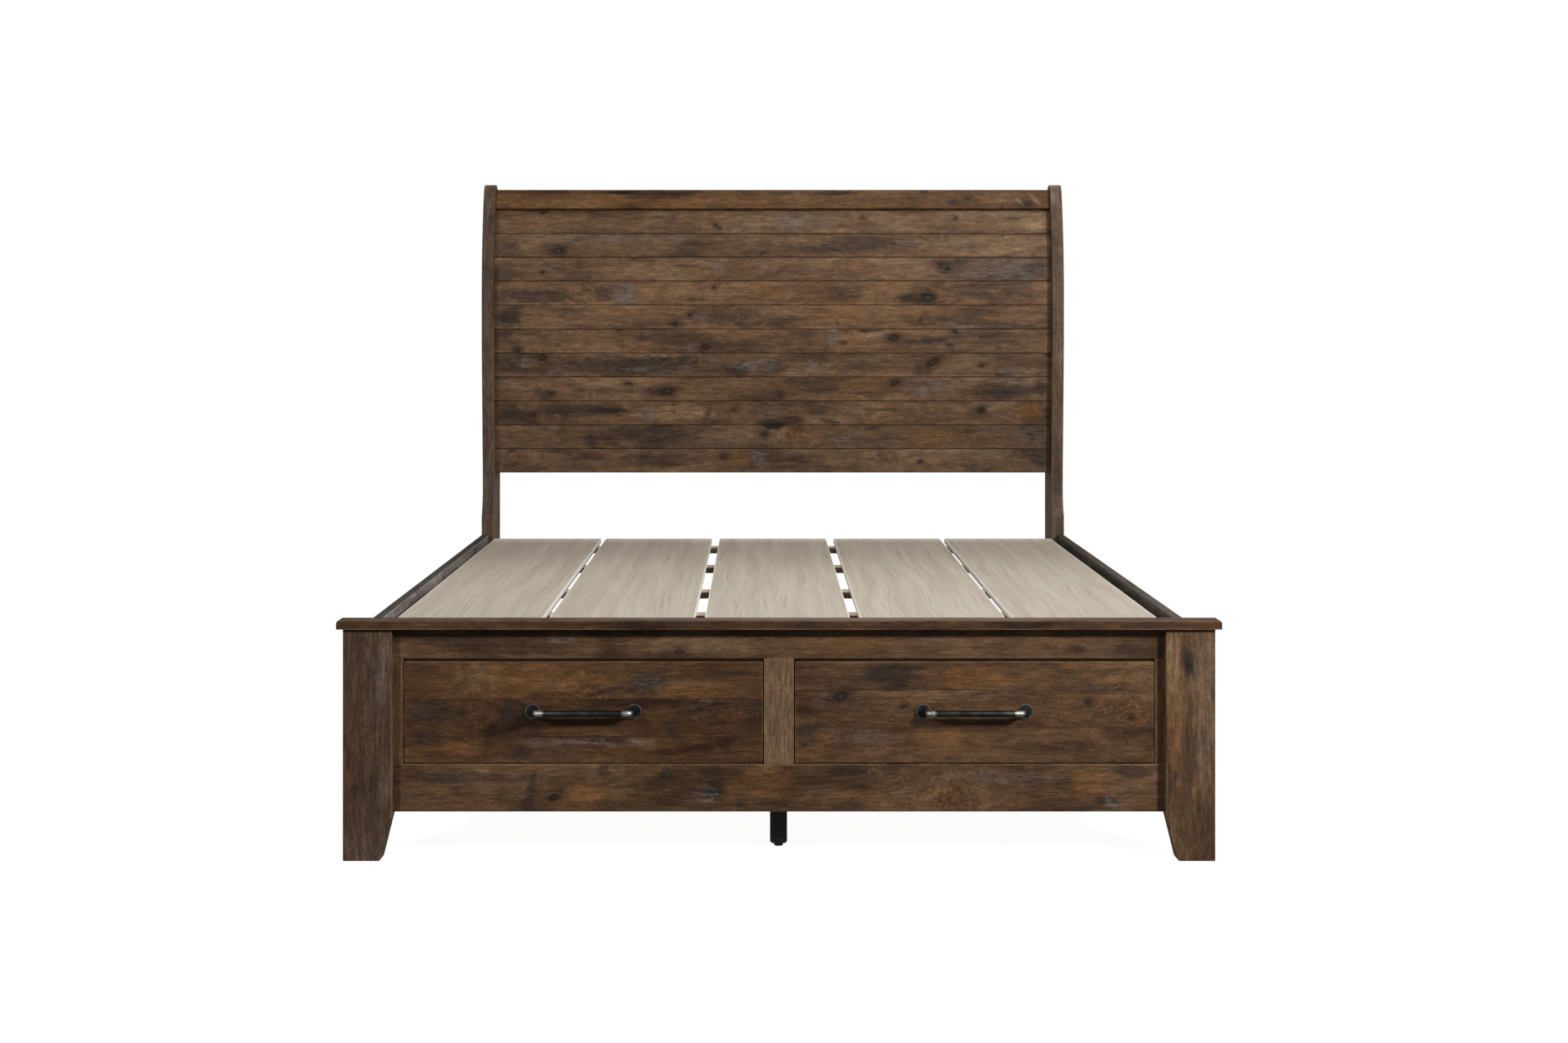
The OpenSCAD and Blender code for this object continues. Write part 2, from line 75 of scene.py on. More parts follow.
def bright_material(name, near, far, albedo):
    """White that is bright by itself; albedo is the share that still takes shadows. near and
    far are its glow under the bed and out on the floor."""
    material = bpy.data.materials.new(name)
    material.use_nodes = True
    tree = material.node_tree
    shader = tree.nodes["Principled BSDF"]
    shader.inputs["Base Color"].default_value = (albedo, albedo, albedo, 1)
    shader.inputs["Roughness"].default_value = 0.9
    shader.inputs["Emission Color"].default_value = WHITE
    place = tree.nodes.new("ShaderNodeTexCoord")
    distance = tree.nodes.new("ShaderNodeVectorMath")
    distance.operation = "LENGTH"
    tree.links.new(distance.inputs[0], place.outputs["Object"])
    ramp = tree.nodes.new("ShaderNodeMapRange")
    for socket, value in (("From Min", NEAR), ("From Max", FAR), ("To Min", near), ("To Max", far)):
        ramp.inputs[socket].default_value = value
    tree.links.new(ramp.inputs["Value"], distance.outputs["Value"])
    tree.links.new(shader.inputs["Emission Strength"], ramp.outputs["Result"])
    return material


def camera_only(obj):
    """Lets the backdrop show to the camera without lighting the bed."""
    obj.visible_diffuse = False
    obj.visible_glossy = False
    obj.visible_transmission = False
    obj.visible_shadow = False


def make_studio():
    bpy.ops.mesh.primitive_circle_add(vertices=96, radius=FLOOR_RADIUS, fill_type="NGON",
                                      location=(0, 0, -FLOOR_DROP))
    floor = bpy.context.object
    floor.name = "studio_floor"
    floor.data.materials.append(bright_material("studio_floor", 0.955, 1.0, 0.10))
    bpy.ops.mesh.primitive_uv_sphere_add(segments=48, ring_count=24, radius=BACKDROP_RADIUS)
    backdrop = bpy.context.object
    backdrop.name = "studio_backdrop"
    backdrop.data.materials.append(bright_material("studio_backdrop", 1.0, 1.0, 0.0))
    for obj in (floor, backdrop):
        camera_only(obj)

    world = bpy.data.worlds.new("studio")
    world.use_nodes = True
    background = world.node_tree.nodes["Background"]
    background.inputs["Color"].default_value = WHITE
    background.inputs["Strength"].default_value = WORLD_STRENGTH
    scene.world = world
    for light in LIGHTS:
        area_light(*light)
    scene.view_settings.view_transform = "Standard"
    scene.view_settings.look = "None"


# ---------------------------------------------------------------- node helpers
class Graph:
    """The node tree of a material or of a group, with a short call for each kind of node."""

    def __init__(self, tree):
        self.tree = tree
        tree.nodes.clear()

    def node(self, kind, **settings):
        made = self.tree.nodes.new(kind)
        for name, value in settings.items():
            setattr(made, name, value)
        return made

    def feed(self, socket, value):
        """Links a socket to another one, or sets it to a number, vector or colour."""
        if isinstance(value, bpy.types.NodeSocket):
            self.tree.links.new(socket, value)
        elif isinstance(value, (int, float)) or len(socket.default_value) == len(value):
            socket.default_value = value
        else:
            socket.default_value = (*value, 1.0)

    def math(self, operation, a, b=0.0):
        made = self.node("ShaderNodeMath", operation=operation)
        self.feed(made.inputs[0], a)
        self.feed(made.inputs[1], b)
        return made.outputs[0]

    def vector(self, operation, a, b=(0.0, 0.0, 0.0)):
        made = self.node("ShaderNodeVectorMath", operation=operation)
        self.feed(made.inputs[0], a)
        self.feed(made.inputs[1], b)
        return made.outputs["Value" if operation == "LENGTH" else "Vector"]

    def place(self):
        """The point in the frame, in metres."""
        return self.node("ShaderNodeTexCoord").outputs["Object"]

    def split(self, vector):
        """The X, Y and Z of a vector."""
        made = self.node("ShaderNodeSeparateXYZ")
        self.feed(made.inputs[0], vector)
        return made.outputs

    def join(self, **parts):
        """A vector of the parts given as X, Y or Z."""
        made = self.node("ShaderNodeCombineXYZ")
        for axis, value in parts.items():
            self.feed(made.inputs[axis], value)
        return made.outputs[0]

    def face_normal(self):
        """The X, Y and Z of the face's own normal."""
        return self.split(self.node("ShaderNodeNewGeometry").outputs["True Normal"])

    def noise(self, point, scale, detail=3.0, roughness=0.55, distortion=0.0):
        """Noise with a separate number of waves per metre along each axis."""
        made = self.node("ShaderNodeTexNoise", noise_dimensions="3D")
        self.feed(made.inputs["Vector"], self.vector("MULTIPLY", point, scale))
        made.inputs["Scale"].default_value = 1.0
        made.inputs["Detail"].default_value = detail
        made.inputs["Roughness"].default_value = roughness
        made.inputs["Distortion"].default_value = distortion
        return made.outputs["Fac"]

    def fade(self, value, start, end, low=0.0, high=1.0):
        """Goes smoothly from low at start to high at end."""
        made = self.node("ShaderNodeMapRange", interpolation_type="SMOOTHSTEP")
        for name, x in (("Value", value), ("From Min", start), ("From Max", end),
                        ("To Min", low), ("To Max", high)):
            self.feed(made.inputs[name], x)
        return made.outputs["Result"]

    def mix(self, factor, a, b, blend="MIX"):
        made = self.node("ShaderNodeMix", data_type="RGBA", blend_type=blend)
        self.feed(made.inputs["Factor"], factor)
        self.feed(made.inputs[6], a)     # the sockets A, B and Result of a colour mix
        self.feed(made.inputs[7], b)
        return made.outputs[2]

    def group(self, tree, **inputs):
        made = self.node("ShaderNodeGroup", node_tree=tree)
        for name, value in inputs.items():
            self.feed(made.inputs[name], value)
        return made.outputs[0]


def new_material(name):
    material = bpy.data.materials.new(name)
    material.use_nodes = True
    return material, Graph(material.node_tree)


def finish_material(graph, colour, roughness, height, depth, metallic=0.0, specular=0.5):
    """Adds the shader. height is a pattern from 0 to 1, and depth its relief in metres."""
    shader = graph.node("ShaderNodeBsdfPrincipled")
    graph.feed(shader.inputs["Base Color"], colour)
    graph.feed(shader.inputs["Roughness"], roughness)
    shader.inputs["Metallic"].default_value = metallic
    shader.inputs["Specular IOR Level"].default_value = specular
    bump = graph.node("ShaderNodeBump")
    bump.inputs["Strength"].default_value = 1.0
    bump.inputs["Distance"].default_value = depth
    graph.feed(bump.inputs["Height"], height)
    graph.feed(shader.inputs["Normal"], bump.outputs["Normal"])
    output = graph.node("ShaderNodeOutputMaterial")
    graph.feed(output.inputs["Surface"], shader.outputs["BSDF"])


def paint(node, material):
    for slot in nodes[node].material_slots:
        slot.material = material


def mark_distance():
    """Group: distance from a mark's centre, 1 at its edge, with a ragged outline."""
    tree = bpy.data.node_groups.new("mark_distance", "ShaderNodeTree")
    for name, kind in (("Point", "Vector"), ("Centre", "Vector"), ("Reach", "Vector"),
                       ("Tilt", "Float"), ("Ragged", "Float")):
        tree.interface.new_socket(name, in_out="INPUT", socket_type="NodeSocket" + kind)
    tree.interface.new_socket("Distance", in_out="OUTPUT", socket_type="NodeSocketFloat")
    g = Graph(tree)
    source = g.node("NodeGroupInput").outputs
    turn = g.node("ShaderNodeVectorRotate", rotation_type="Z_AXIS")
    g.feed(turn.inputs["Vector"], g.vector("SUBTRACT", source["Point"], source["Centre"]))
    g.feed(turn.inputs["Angle"], source["Tilt"])
    flat = g.vector("MULTIPLY", turn.outputs["Vector"], (1.0, 1.0, 0.0))
    length = g.vector("LENGTH", g.vector("DIVIDE", flat, source["Reach"]))
    rough = g.math("SUBTRACT", g.noise(source["Point"], (45.0, 110.0, 4.0), 3.0), 0.5)
    total = g.math("ADD", length, g.math("MULTIPLY", rough, source["Ragged"]))
    g.feed(g.node("NodeGroupOutput").inputs["Distance"], total)
    return tree


MARK_DISTANCE = mark_distance()

# ---------------------------------------------------------------- stained wood
# Linear colours in and on the stain
BLACKENED = (0.009, 0.0065, 0.005)
SMOKE = (0.022, 0.0155, 0.0125)
HAZE = (0.088, 0.074, 0.066)
WARM = (0.140, 0.064, 0.022)
PALE = (0.200, 0.125, 0.064)
KNOT_RIM = (0.052, 0.021, 0.008)
# A lighter line along the arrises: worn edges and a painted highlight together
WORN_EDGE_HIGHLIGHT = (0.190, 0.120, 0.062)
HOLE = (0.004, 0.003, 0.002)
SMUDGES = {"black": BLACKENED, "smoke": SMOKE, "haze": HAZE, "warm": WARM, "pale": PALE}
RINGS = 15.0                 # growth rings of a knot, in radians per half width
BEND_REACH, BEND_SHARE = 3.4, 0.8    # how far a knot bends the grain, and by what share
JOINT_BLUR = 0.0002
JOINT_OUTER, JOINT_INNER = 0.0011, 0.0003
JOINT_DARK = 0.55
CUT_BLUR = 0.0008
SWAY = 0.030                 # how far the grain wanders off straight
LEAN = 0.17                  # vertical part of the normals of the planks' faces, in the middle
BEVEL_FROM, BEVEL_TO = 0.36, 0.44
BEVEL_DARK = 0.3
WORN_HIGHLIGHT_OUTER, WORN_HIGHLIGHT_INNER = 0.0024, 0.0006
STAIN_ROUGHNESS = (0.40, 0.60)
STAIN_GLOSS = 0.12


class Board:
    """Where a board lies: its middle, and which way its length, face height and thickness run."""

    def __init__(self, node, along):
        low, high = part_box(node)
        self.middle = (low + high) / 2
        self.size = high - low
        self.order = {"x": "XZY", "z": "ZXY", "y": "YZX", "deck": "YXZ"}[along]
        self.face_height = self.size["XYZ".index(self.order[1])]
        self.length = self.size["XYZ".index(self.order[0])]


def board_point(g, board):
    """The point on the board as (length, face height, thickness) from its middle, in metres."""
    local = g.split(g.vector("SUBTRACT", g.place(), tuple(board.middle)))
    length, height, thickness = (local[axis] for axis in board.order)
    return g.join(X=length, Y=height, Z=thickness)


def bent_round_knots(g, board, point, marks):
    """Returns the grain's point, pushed aside by knots, and each mark with its distance."""
    marked = []
    bend = 0.0
    for kind, place, share, half_l, half_h, strength, tilt, cut in marks:
        centre = (place, (share - 0.5) * board.face_height, 0.0)
        d = g.group(MARK_DISTANCE, Point=point, Centre=centre, Reach=(half_l, half_h, 1.0),
                    Tilt=tilt, Ragged=0.5 if kind == "knot" else 1.5)
        marked.append((kind, d, strength, cut))
        if kind in ("knot", "swirl"):
            away = g.split(g.vector("SUBTRACT", point, centre))["Y"]
            pull = g.fade(d, BEND_REACH, 0.3, 0.0, BEND_SHARE)
            bend = g.math("ADD", bend, g.math("MULTIPLY", away, pull))
    if isinstance(bend, float):
        return point, marked
    return g.vector("SUBTRACT", point, g.join(Y=bend)), marked


def glued_strips(g, board, point, height, joints):
    """A board glued up from strips: moves the grain from strip to strip, and marks each joint."""
    line = 0.0
    for i, share in enumerate(joints):
        edge = (share - 0.5) * board.face_height
        above = g.fade(height, edge - JOINT_BLUR, edge + JOINT_BLUR)
        step = g.node("ShaderNodeVectorMath", operation="SCALE")
        step.inputs[0].default_value = (1.7 + i, 0.31, 0.13)
        g.feed(step.inputs["Scale"], above)
        point = g.vector("ADD", point, step.outputs["Vector"])
        near = g.math("ABSOLUTE", g.math("SUBTRACT", height, edge))
        line = g.math("MAXIMUM", line, g.fade(near, JOINT_OUTER, JOINT_INNER, 0.0, JOINT_DARK))
    return point, line


def draw_mark(g, colour, kind, d, strength, cut, streaks, length):
    """Lays one mark over the colour. d is the distance from its centre, 1 at its edge."""
    if kind == "knot":
        smear = g.math("MULTIPLY", g.fade(d, 4.2, 1.0, 0.0, 0.5 * strength), streaks)
        colour = g.mix(smear, colour, SMOKE)
        colour = g.mix(g.fade(d, 2.4, 0.9, 0.0, 0.5 * strength), colour, KNOT_RIM)
        rings = g.fade(g.math("SINE", g.math("MULTIPLY", d, RINGS)), -0.2, 1.0)
        ringed = g.math("MULTIPLY", rings, g.fade(d, 2.6, 0.7, 0.0, 0.5 * strength))
        colour = g.mix(ringed, colour, BLACKENED)
        colour = g.mix(g.fade(d, 1.25, 0.65, 0.0, 0.85 * strength), colour, BLACKENED)
        colour = g.mix(g.fade(d, 0.75, 0.30, 0.0, 0.6), colour, SMOKE)
        return g.mix(g.fade(d, 0.30, 0.12, 0.0, 0.3 * strength), colour, HAZE)
    if kind == "hole":
        return g.mix(g.fade(d, 1.1, 0.8, 0.0, strength), colour, HOLE)
    if kind == "swirl":
        rings = g.fade(g.math("SINE", g.math("MULTIPLY", d, RINGS)), -0.3, 0.9)
        ringed = g.math("MULTIPLY", rings, g.fade(d, 1.25, 0.5, 0.0, 0.75 * strength))
        return g.mix(ringed, g.mix(g.fade(d, 1.2, 0.2, 0.0, 0.25 * strength), colour, WARM), KNOT_RIM)
    cover = g.math("MULTIPLY", g.fade(d, 1.35, 0.45, 0.0, strength), streaks)
    if cut:
        side = CUT_BLUR if cut[0] == "<" else -CUT_BLUR
        cover = g.math("MULTIPLY", cover, g.fade(length, cut[1] + side, cut[1] - side))
    return g.mix(cover, colour, SMUDGES[kind])


def paint_facing_light(g, colour, facing_light):
    """Painted light and shade: multiplies the colour on the faces that look along an axis, (axis, way,
    tint) each.
    """
    normal = g.face_normal()
    for axis, way, tint in facing_light:
        facing = g.math("MULTIPLY", normal[axis], way)
        colour = g.mix(g.fade(facing, 0.5, 0.8), colour, g.mix(1.0, colour, tint, "MULTIPLY"))
    return colour


def stained_wood(node, along, tones, seed, marks=(), smoky=0.5, warmth=0.25, joints=(),
                 grooved=False, bright=1.0, facing_light=()):
    """Dark stained, brushed softwood. tones is (dark, middle, light); seed moves the grain;
    marks come from mark(); joints are the heights, as shares, where strips are glued together;
    grooved darkens the bevels along the edges; bright scales the tones, and tints are painted
    light and shade: factors for the faces that look along an axis. Without grooved, the arrises
    get a worn edge with a painted highlight."""
    material, g = new_material("wood_" + node)
    board = Board(node, along)
    point = board_point(g, board)
    local = g.split(point)
    length, height = local["X"], local["Y"]
    grain_point, marked = bent_round_knots(g, board, point, marks)
    grain_point = g.vector("ADD", grain_point, (seed * 1.37, seed * 0.71, seed * 0.43))
    grain_point, joint_line = glued_strips(g, board, grain_point, height, joints)
    wave = g.noise(grain_point, (2.2, 7.0, 7.0), 2.0)
    sway = g.math("MULTIPLY", g.math("SUBTRACT", wave, 0.5), SWAY)
    figure = g.vector("ADD", grain_point, g.join(Y=sway))

    cloud = g.noise(figure, (3.0, 10.0, 10.0), 5.0, 0.64)
    bands = g.noise(figure, (2.6, 80.0, 80.0), 4.0, 0.62)
    streak = g.noise(figure, (22.0, 260.0, 260.0), 3.0, 0.70)
    fibre = g.noise(figure, (34.0, 640.0, 640.0), 2.0, 0.65)
    mottle = g.noise(grain_point, (34.0, 70.0, 70.0), 4.0, 0.65)
    speck = g.noise(figure, (150.0, 700.0, 700.0), 1.0, 0.5)
    grit = g.noise(grain_point, (260.0, 420.0, 420.0), 2.0, 0.7)
    patch = g.noise(grain_point, (8.0, 22.0, 22.0), 5.0, 0.66, 0.8)
    glow = g.noise(g.vector("ADD", grain_point, (3.1, 1.7, 0.0)), (4.5, 12.0, 12.0), 4.0, 0.62, 0.5)

    dark, middle, light = (tuple(bright * part for part in tone) for tone in tones)
    colour = g.mix(g.fade(cloud, 0.34, 0.50), dark, middle)
    colour = g.mix(g.fade(cloud, 0.50, 0.68), colour, light)
    colour = g.mix(g.fade(glow, 0.52, 0.72, 0.0, warmth), colour, WARM)
    colour = g.mix(g.fade(patch, 0.54, 0.72, 0.0, smoky), colour, SMOKE)
    colour = g.mix(g.fade(patch, 0.42, 0.28, 0.0, smoky * 0.25), colour, HAZE)
    streaks = g.fade(g.math("ADD", patch, g.math("MULTIPLY", bands, 0.35)), 0.52, 0.82, 0.62, 1.0)
    dusty = g.fade(g.math("ADD", streak, mottle), 0.90, 1.12, 0.15, 1.0)
    for kind, d, strength, cut in marked:
        cover = dusty if kind == "haze" else streaks
        colour = draw_mark(g, colour, kind, d, strength, cut, cover, length)
    tone = g.fade(bands, 0.34, 0.68, 0.84, 1.14)
    for pattern, start, end, low, high in ((streak, 0.34, 0.68, 0.80, 1.20),
                                           (mottle, 0.34, 0.68, 0.84, 1.18),
                                           (fibre, 0.30, 0.70, 0.80, 1.22),
                                           (speck, 0.60, 0.74, 1.0, 0.55),
                                           (grit, 0.32, 0.68, 0.80, 1.20)):
        tone = g.math("MULTIPLY", tone, g.fade(pattern, start, end, low, high))
    colour = g.mix(1.0, colour, g.join(X=tone, Y=tone, Z=tone), "MULTIPLY")
    if joints:
        colour = g.mix(joint_line, colour, BLACKENED)
    if grooved:
        off_face = g.math("ABSOLUTE", g.math("SUBTRACT", g.face_normal()["Z"], LEAN))
        colour = g.mix(g.fade(off_face, BEVEL_FROM, BEVEL_TO, 0.0, BEVEL_DARK), colour, BLACKENED)
    else:
        # Lighter along the arrises: worn edges with a painted highlight
        to_edge = g.math("SUBTRACT", board.face_height / 2, g.math("ABSOLUTE", height))
        to_end = g.math("SUBTRACT", board.length / 2, g.math("ABSOLUTE", length))
        arris = g.fade(g.math("MINIMUM", to_edge, to_end), WORN_HIGHLIGHT_OUTER, WORN_HIGHLIGHT_INNER)
        worn_highlight = g.math("MULTIPLY", arris, g.fade(patch, 0.40, 0.60, 0.08, 0.50))
        colour = g.mix(worn_highlight, colour, WORN_EDGE_HIGHLIGHT)
    # Painted light and shade on whole faces, by the way they look
    if facing_light:
        colour = paint_facing_light(g, colour, facing_light)
    height_map = g.math("ADD", g.math("MULTIPLY", fibre, 0.5), g.math("MULTIPLY", streak, 0.7))
    height_map = g.math("SUBTRACT", height_map, g.fade(speck, 0.60, 0.74, 0.0, 0.5))
    sheen = g.math("ADD", g.math("MULTIPLY", patch, 0.6), g.math("MULTIPLY", fibre, 0.4))
    roughness = g.fade(sheen, 0.30, 0.70, *STAIN_ROUGHNESS)
    finish_material(g, colour, roughness, height_map, 0.00012, specular=STAIN_GLOSS)
    paint(node, material)


def mark(kind, place, share, half_l, half_h, strength=1.0, tilt=0.0, cut=None):
    """One mark on a board. place is in metres along it from its middle, share is the height on
    its face from 0 to 1, half_l and half_h are half the mark's length and height in millimetres,
    tilt is in radians, and cut is (side kept, place) where the mark ends at a sharp line."""
    return (kind, place, share, half_l / 1000, half_h / 1000, strength, tilt, cut)


